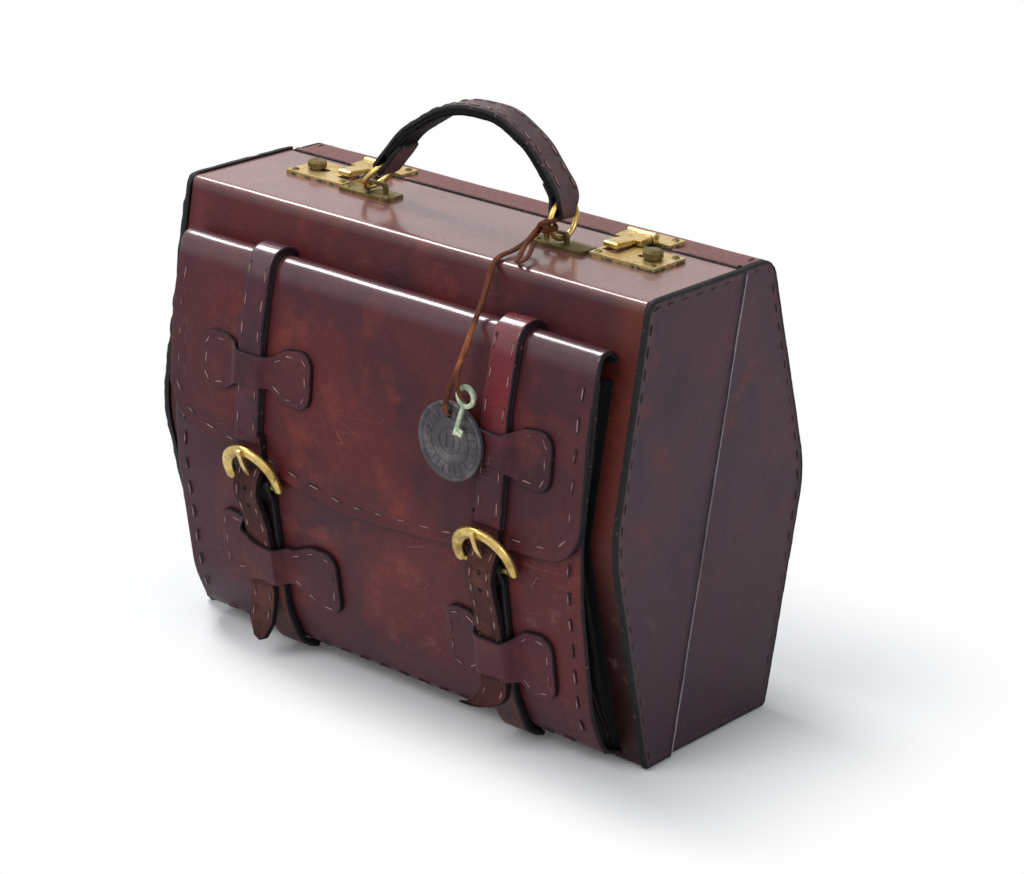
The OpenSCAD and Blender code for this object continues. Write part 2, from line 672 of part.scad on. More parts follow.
module chape(side)
    color(oxblood) difference() {
        union() {
            translate([chape_x(side), 0, 0]) along_x(-strap_w / 2, strap_w / 2)
                polygon(layer(chape_path, layer_gap, chape_t + layer_gap));
            bar_along_x(chape_x(side), bar_y, bar_z, eye_r, strap_w);
        }
        bar_along_x(chape_x(side), bar_y, bar_z, bar_r + run_gap, 2 * strap_w);
        translate([buckle_x(side) - prong_w / 2 - side_gap, bar_y - 20, bar_z - 14])
            cube([prong_w + 2 * side_gap, 40, 30]);
    }

// buckles: the frame is drawn flat in [x, s] with the bar at s = 0, then leaned and placed
module at_bar(x) translate([x, bar_y, bar_z]) rotate([buckle_lean, 0, 0]) children();
buckle_r = buckle_w / 2;
frame_rise = 3;                                  // from the bar to the middle of the arch
module buckle_frame() {
    // arch
    rotate([90, 0, 0]) translate([0, 0, -band_t / 2]) intersection() {
        translate([0, frame_rise, 0]) difference() {
            cylinder(r = buckle_r, h = band_t, $fn = 96);
            translate([0, 0, -1]) cylinder(r = buckle_r - band_w, h = band_t + 2, $fn = 96);
        }
        translate([-far, frame_rise, -1]) cube([2 * far, far, band_t + 2]);
    }
    // legs with rounded feet round the bar's ends
    for (end = [-1, 1]) {
        x = end * (buckle_r - band_w / 2);
        translate([x - band_w / 2, -band_t / 2, 0]) cube([band_w, band_t, frame_rise]);
        bar_along_x(x, 0, 0, band_t / 2, band_w);
    }
    bar_along_x(0, 0, 0, bar_r, buckle_w - band_w);
}
module buckle(side) color(brass) at_bar(buckle_x(side)) buckle_frame();
prong_rest = band_t / 2 + 0.2;
prong_tip = buckle_r + 5;
prong_side = [[-bar_r - 0.8, 0], [-prong_rest - 3, buckle_r - 8], [-prong_rest - 2.6, prong_tip],
    [-prong_rest, prong_tip], [-prong_rest, buckle_r - 9], [0, bar_r + 0.8]];
module prong(side)
    color(old_brass) at_bar(buckle_x(side)) difference() {
        union() {
            bar_along_x(0, 0, 0, bar_r + 1.6, prong_w);
            along_x(-prong_w / 2, prong_w / 2)
                polygon(prong_side);
        }
        bar_along_x(0, 0, 0, bar_r + run_gap, 2 * prong_w);
    }

// keepers: bow-tie patches that bridge over a strap
lobe_w = 26;                                     // width of a lobe, from its end to where it narrows
lobe_drop = 2;                                   // how much it narrows there
waist_half = strap_w / 2 + 1.5;
bow_radii = [12, 14, 20, 20, 14, 12];
// a bow-tie outline of the given size about [x, z]: a lobe at each end, a waist between
function bow(x, z, size, slope) =
    let (wide = size.x,
         tall = size.y,
         waist = size.z,
         low = [[-wide, -tall] / 2, [-wide / 2 + lobe_w, lobe_drop - tall / 2], [-waist_half, -waist / 2],
             [waist_half, -waist / 2], [wide / 2 - lobe_w, lobe_drop - tall / 2], [wide, -tall] / 2],
         corners = [for (p = concat(low, -low)) [x + p.x, z + p.y - slope * p.x]])
    rounded(corners, concat(bow_radii, bow_radii), true);
keeper_room = 1;                                 // room beside the strap under a keeper
upper_bow = [111, 46, 24];                       // length, height of the lobes and of the waist
upper_bow_z = 233.5;                             // height of its middle above the base
lower_left_bow = [119, 54, 30];
lower_left_z = 83;
lower_left_slope = 0.09;
lower_right_bow = [100, 54, 30];
lower_right_z = 76;
// a keeper stitched down along path, with room under it from x = low to x = high
module keeper(path, low, high, outline, rise)
    color(oxblood) intersection() {
        union() {
            along_x(-far, far) polygon(layer(path, layer_gap, layer_gap + keeper_t));
            along_x(low - keeper_room - keeper_t, high + keeper_room + keeper_t)
                polygon(layer(path, layer_gap, rise + keeper_t));
        }
        along_y(-far, 0) polygon(outline);
        difference() {
            along_y(-far, 0) square(3 * far, center = true);
            along_x(low - keeper_room, high + keeper_room) polygon(layer(path, -50, rise));
        }
    }
module lower_keeper(side) {
    low = min(billet_x(side), chape_x(side)) - strap_w / 2;
    high = max(billet_x(side), chape_x(side)) + strap_w / 2;
    outline = side < 0 ? bow(chape_x(-1) + 9, lower_left_z, lower_left_bow, lower_left_slope)
        : bow(chape_x(1) + 0.5, lower_right_z, lower_right_bow, 0);
    keeper(pocket_path, low, high, outline, chape_t + billet_t + 2);
}
module upper_keeper(side) {
    outline = side < 0 ? bow(strap_x(-1) + 4, upper_bow_z, upper_bow, -0.04)
        : bow(strap_x(1) - 5, upper_bow_z, upper_bow, 0);
    keeper(flap_path, strap_x(side) - strap_w / 2, strap_x(side) + strap_w / 2, outline,
        strap_t + 2 * layer_gap);
}

// the tag and the key
tag_x = 91.5;
tag_y = -141.6;
tag_z = 233.5;
tag_hole = [90.5, 253];
tag_hole_r = 2.4;
module tag()
    color(tag_grey) difference() {
        union() {
            translate([tag_x, tag_y + tag_t / 2, tag_z]) rotate([90, 0, 0])
                cylinder(d = tag_d, h = tag_t, $fn = 96);
            // raised rim
            translate([tag_x, tag_y - tag_t / 2 + 0.1, tag_z]) rotate([90, 0, 0]) difference() {
                cylinder(d = tag_d - 2, h = 0.5, $fn = 96);
                translate([0, 0, -1]) cylinder(d = tag_d - 5, h = 3, $fn = 96);
            }
        }
        translate([tag_hole.x, 0, tag_hole.y]) rotate([90, 0, 0]) cylinder(r = tag_hole_r, h = far);
    }
key_bow = [110, -147.5, 272];
key_lean = 18;                                   // the key's lean to the left as it goes down
key_length = 31;                                 // from the middle of the bow to the tip
bow_r = 8.5;
bow_t = 2.4;
module key()
    color(brass) translate(key_bow) rotate([0, key_lean, 0]) {
        rotate([90, 0, 0]) translate([0, 0, -bow_t / 2]) difference() {
            cylinder(r = bow_r, h = bow_t);
            translate([0, 0, -1]) cylinder(r = bow_r - 3.3, h = bow_t + 2);
        }
        translate([0, 0, -key_length]) cylinder(r = 1.7, h = key_length - bow_r + 1);
        translate([0, -0.8, 0.5 - key_length]) cube([6.2, 1.6, 5.6]);
    }

// the thong: a round-cornered lace along points chosen by hand, as [x, y, z]
thong_points = [[88, -44, 367], [83, -46, 360], [82, -54, 356], [83, -70, 353], [84, -86, 353],
    [84, -93, 348], [86, -99, 338], [90, -110, 326], [94, -121, 317], [95, -128.5, 306], [94, -135, 291],
    [92, -143, 276], [91, -147, 264], [90.5, -147, 256.5], [90.5, -144.5, 253.2], [90.5, -139.6, 253]];
thong_end_points = [[95.1, -136.4, 291.5], [97.6, -139.1, 292.5], [101.5, -148, 287],
    [106.5, -153, 278.5], [109.5, -151.5, 270.5], [110, -144.6, 268.5]];
function blend3(a, b, c, t) =
    let (m = (a + b) / 2, n = (b + c) / 2)
    (1 - t) * (1 - t) * m + 2 * t * (1 - t) * b + t * t * n;
// smooth run through the middles of a hand-chosen path's legs
function run(p, steps) =
    concat([p[0]],
        [for (i = [1:len(p) - 2], k = [0:steps - 1]) blend3(p[i - 1], p[i], p[i + 1], k / steps)],
        [(p[len(p) - 2] + p[len(p) - 1]) / 2, p[len(p) - 1]]);
module lace(p, r, sides) {
    n = len(p);
    ring_points = [for (i = [0:n - 1])
        let (d = unit(p[min(i + 1, n - 1)] - p[max(i - 1, 0)]),
             u = unit(cross(d, [1, 0, 0])),
             v = cross(d, u))
        each [for (k = [0:sides - 1]) let (a = 360 * k / sides) p[i] + r * (cos(a) * u + sin(a) * v)]];
    walls = [for (i = [0:n - 2], k = [0:sides - 1]) each
        [[i * sides + k, i * sides + (k + 1) % sides, (i + 1) * sides + (k + 1) % sides],
         [i * sides + k, (i + 1) * sides + (k + 1) % sides, (i + 1) * sides + k]]];
    start = [for (k = [1:sides - 2]) [0, k + 1, k]];
    finish = [for (k = [1:sides - 2]) [(n - 1) * sides, (n - 1) * sides + k, (n - 1) * sides + k + 1]];
    polyhedron(ring_points, concat(walls, start, finish));
}
module thong() color(suede) lace(run(thong_points, 3), thong_r, 8);
module thong_end() color(suede) lace(run(thong_end_points, 3), thong_r, 8);

rear_cover();
rear_end(-1);  // rear_end_left
rear_end(1);  // rear_end_right
rear_tray();
bottom_hinge();
hasp_plate(-1);  // hasp_plate_left
hasp_plate(1);  // hasp_plate_right
hasp_pins();
for (side = [-1, 1], place = rear_screw_places(side)) screw(place);  // rear_screws
front_cover();
front_end(-1);  // front_end_left
front_end(1);  // front_end_right
front_tray();
lock_plate(-1);  // lock_plate_left
lock_plate(1);  // lock_plate_right
for (side = [-1, 1], place = lock_screw_places(side)) screw(place);  // lock_screws
handle_base(-1);  // handle_base_left
handle_base(1);  // handle_base_right
for (side = [-1, 1], place = base_screw_places(side)) screw(place);  // base_screws
pocket_front();
gusset_left();
gusset_right();
chape(-1);  // chape_left
chape(1);  // chape_right
lower_keeper(-1);  // lower_keeper_left
lower_keeper(1);  // lower_keeper_right
flap_root();
flap_fold();
flap();
flap_hem();
strap_fold(-1);  // strap_fold_left
strap_fold(1);  // strap_fold_right
strap(-1);  // strap_left
strap(1);  // strap_right
billet(-1);  // billet_left
billet(1);  // billet_right
upper_keeper(-1);  // upper_keeper_left
upper_keeper(1);  // upper_keeper_right
buckle(-1);  // buckle_left
buckle(1);  // buckle_right
prong(-1);  // prong_left
prong(1);  // prong_right
hasp(-1);  // hasp_left
hasp(1);  // hasp_right
slider(-1);  // slider_left
slider(1);  // slider_right
handle_strap();
handle_core();
ring(-1);  // ring_left
ring(1);  // ring_right
tag();
key();
thong();
thong_end();
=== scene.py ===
import math

import bmesh
import bpy
import numpy as np
from mathutils import Matrix, Vector


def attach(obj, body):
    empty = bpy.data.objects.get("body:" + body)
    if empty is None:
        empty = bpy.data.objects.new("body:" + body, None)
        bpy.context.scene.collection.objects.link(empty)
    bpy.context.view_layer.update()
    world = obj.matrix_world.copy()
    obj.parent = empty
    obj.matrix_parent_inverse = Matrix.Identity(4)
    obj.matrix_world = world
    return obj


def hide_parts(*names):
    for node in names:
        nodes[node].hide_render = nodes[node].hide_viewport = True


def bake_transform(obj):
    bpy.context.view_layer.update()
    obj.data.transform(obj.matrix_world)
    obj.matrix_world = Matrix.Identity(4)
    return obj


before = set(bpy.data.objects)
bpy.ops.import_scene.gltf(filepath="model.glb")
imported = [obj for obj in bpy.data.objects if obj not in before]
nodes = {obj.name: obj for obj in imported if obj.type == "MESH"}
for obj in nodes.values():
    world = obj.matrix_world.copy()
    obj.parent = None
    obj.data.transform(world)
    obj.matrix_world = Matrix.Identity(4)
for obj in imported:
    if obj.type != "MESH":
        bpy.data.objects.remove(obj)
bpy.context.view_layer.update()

MM = 0.001


def added(name, data):
    """A new object in the scene."""
    made = bpy.data.objects.new(name, data)
    bpy.context.scene.collection.objects.link(made)
    return made


# the camera, solved from the case's edges: degrees, pixels of the photograph's frame, metres
AZIMUTH, ELEVATION, ROLL = 40.28, 20.53, 1.404
FOCAL, FRAME_W, SENSOR = 3218.9, 1024, 36
CAMERA_AT = (1.468, -1.7005, 1.016)


def make_camera():
    """Stands where the photograph was taken from. Its axes are the direction back along the view, and a level one
    and its cross product with that, both turned about the view by the roll."""
    azimuth, elevation, roll = (math.radians(a) for a in (AZIMUTH, ELEVATION, ROLL))
    back = np.array([math.sin(azimuth) * math.cos(elevation), -math.cos(azimuth) * math.cos(elevation),
                     math.sin(elevation)])
    level = np.array([math.cos(azimuth), math.sin(azimuth), 0])
    rise = np.cross(back, level)
    right = math.cos(roll) * level + math.sin(roll) * rise
    up = math.cos(roll) * rise - math.sin(roll) * level
    data = bpy.data.cameras.new("camera")
    data.sensor_width, data.lens = SENSOR, FOCAL / FRAME_W * SENSOR
    data.clip_start, data.clip_end = 0.05, 50
    camera = added("camera", data)
    turn = Matrix((right, up, back)).transposed().to_4x4()
    camera.matrix_world = Matrix.Translation(CAMERA_AT) @ turn
    bpy.context.scene.camera = camera


make_camera()


# numbers that vary along a surface come from a small seeded lattice noise
class Noise:
    """Smooth noise: random values on a lattice, blended between their corners with a cubic ease."""

    def __init__(self, seed, size=64):
        self.size = size
        self.grid = np.random.default_rng(seed).uniform(-1, 1, (size, size))

    def __call__(self, a, b, scale):
        """The noise at (a, b), whose lattice is scale apart."""
        a, b = np.asarray(a) / scale + 7.3, np.asarray(b) / scale + 3.1
        i, j = np.floor(a).astype(int), np.floor(b).astype(int)
        u, v = a - i, b - j
        u, v = u * u * (3 - 2 * u), v * v * (3 - 2 * v)
        n = self.size

        def value(di, dj):
            return self.grid[(i + di) % n, (j + dj) % n]

        return ((value(0, 0) * (1 - u) + value(1, 0) * u) * (1 - v)
                + (value(0, 1) * (1 - u) + value(1, 1) * u) * v)


wander = Noise(11)


def unit(v):
    """A vector made one long."""
    return v / np.linalg.norm(v)


def units(rows):
    """Each row divided by its length."""
    return rows / np.linalg.norm(rows, axis=1, keepdims=True)


def lengths_along(points):
    """The length of a line of points up to each of them: the running sum of its legs."""
    return np.r_[0, np.cumsum(np.linalg.norm(np.diff(points, axis=0), axis=1))]


def circle(count):
    """Evenly spaced angles round a circle."""
    return np.linspace(0, 2 * np.pi, count, endpoint=False)


def squared(wave, power, half):
    """A sine or cosine raised to a power below 1, its sign kept, times half a size: a squared-off ellipse."""
    return np.sign(wave) * np.abs(wave) ** power * half


# flat paths in millimetres, as in the solid model: [y, z] points of a side profile, or [x, z] of the handle


def rounded(points, radii, closed=False, step=5.0):
    """The points with each corner replaced by an arc of its radius, in turns of at most step degrees."""
    points = [np.array(p, float) for p in points]
    made, count = [], len(points)
    for i, (p, r) in enumerate(zip(points, radii)):
        if r <= 0 or (not closed and i in (0, count - 1)):
            made.append(p)
            continue
        u, w = unit(points[i - 1] - p), unit(points[(i + 1) % count] - p)
        half = math.acos(np.clip(u @ w, -1, 1)) / 2
        middle = p + unit(u + w) * r / math.sin(half)
        start = p + u * r / math.tan(half) - middle
        turn = (math.pi - 2 * half) * (-1 if u[0] * w[1] - u[1] * w[0] > 0 else 1)
        steps = max(1, math.ceil(abs(math.degrees(turn)) / step))
        for k in range(steps + 1):
            a = turn * k / steps
            made.append(middle + np.array([start[0] * math.cos(a) - start[1] * math.sin(a),
                                           start[0] * math.sin(a) + start[1] * math.cos(a)]))
    return np.array(made)


class Path:
    """A polyline read by its length. Its outside is on the right of its direction of travel."""

    def __init__(self, points, smooth=3.0):
        points = np.array(points, float)
        keep = np.r_[True, np.linalg.norm(np.diff(points, axis=0), axis=1) > 1e-6]
        self.points = points[keep]
        self.lengths = lengths_along(self.points)
        self.length = self.lengths[-1]
        self.smooth = smooth

    def at(self, s):
        """Points of the path at the lengths s."""
        s = np.asarray(s, float)
        inside = np.clip(s, 0, self.length)
        p = np.stack([np.interp(inside, self.lengths, self.points[:, k]) for k in (0, 1)], -1)
        first, last = unit(self.points[1] - self.points[0]), unit(self.points[-1] - self.points[-2])
        return p + np.minimum(s, 0)[..., None] * first + np.maximum(s - self.length, 0)[..., None] * last

    def outward(self, s):
        """Unit normals on the outside, from the chord over a short stretch."""
        chord = self.at(np.asarray(s) + self.smooth) - self.at(np.asarray(s) - self.smooth)
        chord /= np.linalg.norm(chord, axis=-1, keepdims=True)
        return np.stack([chord[..., 1], -chord[..., 0]], -1)

    def off(self, s, h):
        """Points h millimetres outside the path."""
        return self.at(s) + self.outward(s) * np.asarray(h)[..., None]

    def reach(self, z, late=True):
        """The length at which the path's second coordinate is z; late takes the way down."""
        signs = np.sign(self.points[:, 1] - z)
        found = np.nonzero(signs[:-1] * signs[1:] <= 0)[0]
        i = found[-1] if late else found[0]
        a, b = self.points[i][1], self.points[i + 1][1]
        return self.lengths[i] + (z - a) / (b - a if b != a else 1) * (self.lengths[i + 1] - self.lengths[i])


# sizes that the solid model and this script share, in millimetres
CASE_H, WAIST_Z = 350, 178
SKIN = 3
SEAM_TOP, SEAM_BASE, SEAM_GAP = 15.5, 47.5, 0.15
FRONT_HALF, REAR_HALF = 217, 213.7
FRONT_CORNERS = [(-88.5, CASE_H), (-117.5, WAIST_Z), (-72.5, 0)]
REAR_CORNERS = [(72.5, 0), (106.5, WAIST_Z), (54.5, CASE_H)]
POCKET_HALF, POCKET_T = 199, 4
FLAP_HALF, FLAP_T = 201, 3.5
STRAP_HALF, BILLET_T, CHAPE_T, KEEPER_T = 12.5, 4, 5, 3
BAR_Z = 146
STRAP_X = {-1: -113, 1: 123}
BUCKLE_X = {-1: -109, 1: 119}
BILLET_X = {-1: -110, 1: 120}
CHAPE_X = {-1: -104, 1: 121}
RING_X = {-1: -89, 1: 95}
RING_Y, EYE_Z, RING_R, WIRE_R = -30.5, 356.2, 14, 2.1
SIDES = {-1: "left", 1: "right"}


def seam_y(z):
    """The slanting seam: a straight line from its place on the base to its place at the top."""
    return -SEAM_BASE + (SEAM_TOP + SEAM_BASE) * z / CASE_H


def height_line(corners):
    """A function that reads y off the straight lines between [y, z] corners, given in falling order of z."""
    y, z = [c[0] for c in corners[::-1]], [c[1] for c in corners[::-1]]
    return lambda height: np.interp(height, z, y)


def front_outline(first_y, last_y, top_r=10):
    """The front shell's side profile, from the seam at the top round to the seam at the base."""
    return rounded([(first_y, CASE_H), *FRONT_CORNERS, (last_y, 0)], [0, top_r, 110, 6, 0])


def rear_outline(first_y, last_y, step=5.0):
    """The rear shell's side profile, from the seam at the base round to the seam at the top."""
    return rounded([(first_y, 0), *REAR_CORNERS, (last_y, CASE_H)], [0, 5, 90, 16, 0], step=step)


pocket_corners = [(-116.4, 296), (-128.5, 182), (-126.5, 136), (-111, 44), (-96, 12), (-70, 2.4)]
pocket_path = Path(rounded(pocket_corners, [0, 150, 200, 80, 25, 0], step=2))
front_y, pocket_y = height_line(FRONT_CORNERS), height_line(pocket_corners)
flap_corners = [(front_y(268), 268), (front_y(317), 317), (front_y(317) - 22, 317),
                (pocket_y(262) - 6.7, 262), (pocket_y(180) - 3.9, 180), (pocket_y(138) - 3.9, 138)]
flap_path = Path(rounded(flap_corners, [0, 10.5, 10.5, 80, 120, 0], step=4))
HEM = rounded([(-FLAP_HALF, 202), (-190, 181), (-168, 170), (-73, 152), (-19, 142), (81, 149), (125, 160),
               (FLAP_HALF, 165), (FLAP_HALF, 202)], [0, 20, 40, 80, 80, 80, 60, 32, 0], step=3)
FOLD_TOP = flap_path.reach(305)       # where the fold meets the flap's hanging part


def on_sides(path, x, s, h):
    """Places a path's [y, z] point at x and h outside it, as [x, y, z]."""
    p = path.off(s, h)
    return np.stack([np.broadcast_to(x, p.shape[:-1]), p[..., 0], p[..., 1]], -1)


# mesh making
def new_piece(name, points, faces, marks=None, sharp=50):
    """A mesh object from points in millimetres, with float attributes from marks."""
    mesh = bpy.data.meshes.new(name)
    mesh.from_pydata((np.asarray(points).reshape(-1, 3) * MM).tolist(), [], faces)
    for key, values in (marks or {}).items():
        layer = mesh.attributes.new(key, "FLOAT", "POINT")
        layer.data.foreach_set("value", np.asarray(values, np.float32).ravel())
    mesh.shade_smooth()
    mesh.set_sharp_from_angle(angle=math.radians(sharp))
    return added(name, mesh)


def grid_faces(n, m, base=0, flip=False, wrap_n=False, wrap_m=False):
    """Quads of an n by m grid of points, numbered row by row from base."""
    i = np.arange(n if wrap_n else n - 1)[:, None]
    j = np.arange(m if wrap_m else m - 1)[None, :]
    a = base + i * m + j
    b = base + ((i + 1) % n) * m + j
    c = base + ((i + 1) % n) * m + (j + 1) % m
    d = base + i * m + (j + 1) % m
    order = (a, d, c, b) if flip else (a, b, c, d)
    return np.stack([np.broadcast_to(k, a.shape) for k in order], -1).reshape(-1, 4).tolist()


def shell_faces(n, m):
    """Faces of a closed shell: an n by m grid, a second one numbered after it and turned over, and the wall between
    their edges."""
    count = n * m
    loop = np.r_[np.arange(m - 1), np.arange(m - 1, count, m)[:-1], np.arange(count - 1, count - m, -1),
                 np.arange(count - m, 0, -m)]
    after = np.roll(loop, -1)
    wall = np.stack([loop, after, after + count, loop + count], -1).tolist()
    return grid_faces(n, m) + grid_faces(n, m, count, flip=True) + wall


def caps(n, m, base=0):
    """The two end faces of a tube of n rings with m points each."""
    return [list(range(base, base + m))[::-1], list(range(base + (n - 1) * m, base + n * m))]


def outline_distance(outline, a, b):
    """Distance from the points (a, b) to a closed outline."""
    p = np.stack([a, b], -1).reshape(-1, 2)
    best = np.full(len(p), 1e9)
    for start, end in zip(outline, np.roll(outline, -1, axis=0)):
        along = end - start
        size = along @ along
        if size < 1e-12:
            continue
        t = np.clip(((p - start) @ along) / size, 0, 1)
        best = np.minimum(best, np.linalg.norm(p - start - t[:, None] * along, axis=1))
    return best.reshape(np.shape(a))


def span(outline, a):
    """The lowest and highest b of a closed outline on the line at a."""
    start, end = outline, np.roll(outline, -1, axis=0)
    low, high = [], []
    for x in a:
        crosses = (start[:, 0] - x) * (end[:, 0] - x) <= 0
        s, e = start[crosses], end[crosses]
        width = e[:, 0] - s[:, 0]
        t = np.where(np.abs(width) > 1e-9, (x - s[:, 0]) / np.where(np.abs(width) > 1e-9, width, 1), 0)
        b = np.r_[s[:, 1] + t * (e[:, 1] - s[:, 1]), e[np.abs(width) <= 1e-9, 1]]
        low.append(b.min())
        high.append(b.max())
    return np.array(low), np.array(high)


# distances from a rim at which the leather's grid has its first lines, and the height below which they close up
RIM = np.array([0, 0.35, 0.9, 1.8])
RIM_FULL_AT = 12


def rim_steps(low, high, step):
    """Values from low to high, close together at both ends and about step apart between them."""
    middle = np.linspace(low + 3, high - 3, max(2, int((high - low - 6) / step) + 1))
    return np.r_[low + RIM, middle, high - RIM[::-1]]


def leather(name, outline, place, thickness, step=3.0, round_r=1.2, lift=None, swell=None, sink=0.55,
            bare_under=True, burn=1.3, cuts=()):
    """A piece of leather on a two-way grid over an outline in (a, b): place(a, b, h) gives the point at height h.
    Rows run from the outline's lowest b to its highest at each a. The top falls off in a quarter round towards the
    rim, which is marked for the burnished edge, burn wide. A cut is a step of the outline, with columns on both
    sides. lift(a, b) raises the whole piece, and swell(a, b, rim) its top, rim being the distance to the edge."""
    outline = np.array(outline, float)
    step_a, step_b = step if isinstance(step, tuple) else (step, step)
    a = rim_steps(outline[:, 0].min() + 1e-4, outline[:, 0].max() - 1e-4, step_a)
    for cut in cuts:
        a = np.sort(np.r_[a[np.abs(a - cut) > 1], cut - 0.01, cut + 0.01])
    bottom, top = span(outline, a)
    tall = np.maximum(top - bottom, 1e-3)[:, None]
    inner = np.linspace(0, 1, max(2, int((tall.max() - 6) / step_b) + 1))[None, :]
    edge = RIM[None, :] * np.minimum(1, tall / RIM_FULL_AT)
    last = edge[:, -1:] + 1e-3
    middle = last + (tall - 2 * last) * inner
    bb = bottom[:, None] + np.concatenate([edge, middle, tall - edge[:, ::-1]], axis=1)
    aa = np.broadcast_to(a[:, None], bb.shape)
    rim = outline_distance(outline, aa, bb)
    fall = 1 - np.clip(rim / round_r, 0, 1)
    height = thickness * (1 - sink * (1 - np.sqrt(np.maximum(0, 1 - fall * fall))))
    base = np.zeros_like(bb) if lift is None else lift(aa, bb)
    if swell is not None:
        height = height + swell(aa, bb, rim)
    upper, lower = place(aa, bb, base + height), place(aa, bb, base)
    points = np.concatenate([upper.reshape(-1, 3), lower.reshape(-1, 3)])
    edge_mark = np.concatenate([np.exp(-rim.ravel() / burn), np.full(bb.size, 1.0 if bare_under else 0.0)])
    return outward_faces(new_piece(name, points, shell_faces(*bb.shape), {"rim": edge_mark}))


def outward_faces(piece):
    """Turns a closed shell's faces outwards."""
    work = bmesh.new()
    work.from_mesh(piece.data)
    bmesh.ops.recalc_face_normals(work, faces=work.faces)
    work.to_mesh(piece.data)
    work.free()
    return piece


def softened(node, width=0.5, segments=2):
    """A copy of a solid, its loose triangles merged, with its sharp edges eased by width, in place of it."""
    source = nodes[node]
    work = bmesh.new()
    work.from_mesh(source.data)
    bmesh.ops.remove_doubles(work, verts=work.verts, dist=1e-6)
    bmesh.ops.dissolve_limit(work, angle_limit=math.radians(1), verts=work.verts, edges=work.edges)
    mesh = bpy.data.meshes.new(node + "_metal")
    work.to_mesh(mesh)
    work.free()
    made = added(node + "_metal", mesh)
    ease = made.modifiers.new("ease", "BEVEL")
    ease.width, ease.segments = width * MM, segments
    ease.limit_method, ease.angle_limit = "ANGLE", math.radians(30)
    ease.use_clamp_overlap, ease.harden_normals = True, False
    mesh.shade_smooth()
    mesh.set_sharp_from_angle(angle=math.radians(35))
    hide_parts(node)
    return made


def tube(name, points, radius, sides=12, closed=False, marks=None):
    """A tube along a line of points in millimetres: at each point a circle across the line, turned as little as the
    line allows. radius may be one number or one for each point."""
    p = np.asarray(points, float)
    n = len(p)
    along = units((np.roll(p, -1, 0) - np.roll(p, 1, 0)) if closed else np.gradient(p, axis=0))
    across = [np.cross(along[0], [0.0, 0.0, 1.0] if abs(along[0][2]) < 0.9 else [1.0, 0.0, 0.0])]
    for k in range(1, n):
        across.append(across[-1] - along[k] * (across[-1] @ along[k]))
    across = np.array([unit(v) for v in across])
    other = np.cross(along, across)
    c, s = (wave(circle(sides))[None, :, None] for wave in (np.cos, np.sin))
    r = np.broadcast_to(np.asarray(radius, float), (n,))[:, None, None]
    ring = p[:, None] + r * (c * across[:, None] + s * other[:, None])
    faces = grid_faces(n, sides, wrap_n=closed, wrap_m=True) + ([] if closed else caps(n, sides))
    return outward_faces(new_piece(name, ring, faces, marks))


def merged(name, parts):
    """Several pieces made one."""
    bpy.ops.object.select_all(action="DESELECT")
    for part in parts:
        part.select_set(True)
    bpy.context.view_layer.objects.active = parts[0]
    bpy.ops.object.join()
    parts[0].name = name
    return parts[0]


# materials
class Wire:
    """A socket that takes arithmetic: an expression adds its Math nodes."""

    def __init__(self, paint, socket):
        self.paint, self.socket = paint, socket

    def _math(self, operation, *values):
        return self.paint.node("ShaderNodeMath", {"operation": operation}, dict(enumerate(values)))[0]

    def __add__(self, other):
        return self._math("ADD", self, other)

    __radd__ = __add__

    def __mul__(self, other):
        return self._math("MULTIPLY", self, other)

    __rmul__ = __mul__

    def __sub__(self, other):
        return self._math("SUBTRACT", self, other)

    def __rsub__(self, other):
        return self._math("SUBTRACT", other, self)

    def __pow__(self, other):
        return self._math("POWER", self, other)

    def at_least(self, other):
        """The larger of the two."""
        return self._math("MAXIMUM", self, other)

    def at_most(self, other):
        """The smaller of the two."""
        return self._math("MINIMUM", self, other)

    def step(self, low, high):
        """0 below low, 1 above high and a smooth rise between them."""
        return self.paint.node("ShaderNodeMapRange", {"interpolation_type": "SMOOTHSTEP"},
                               {"Value": self, "From Min": low, "From Max": high})["Result"]


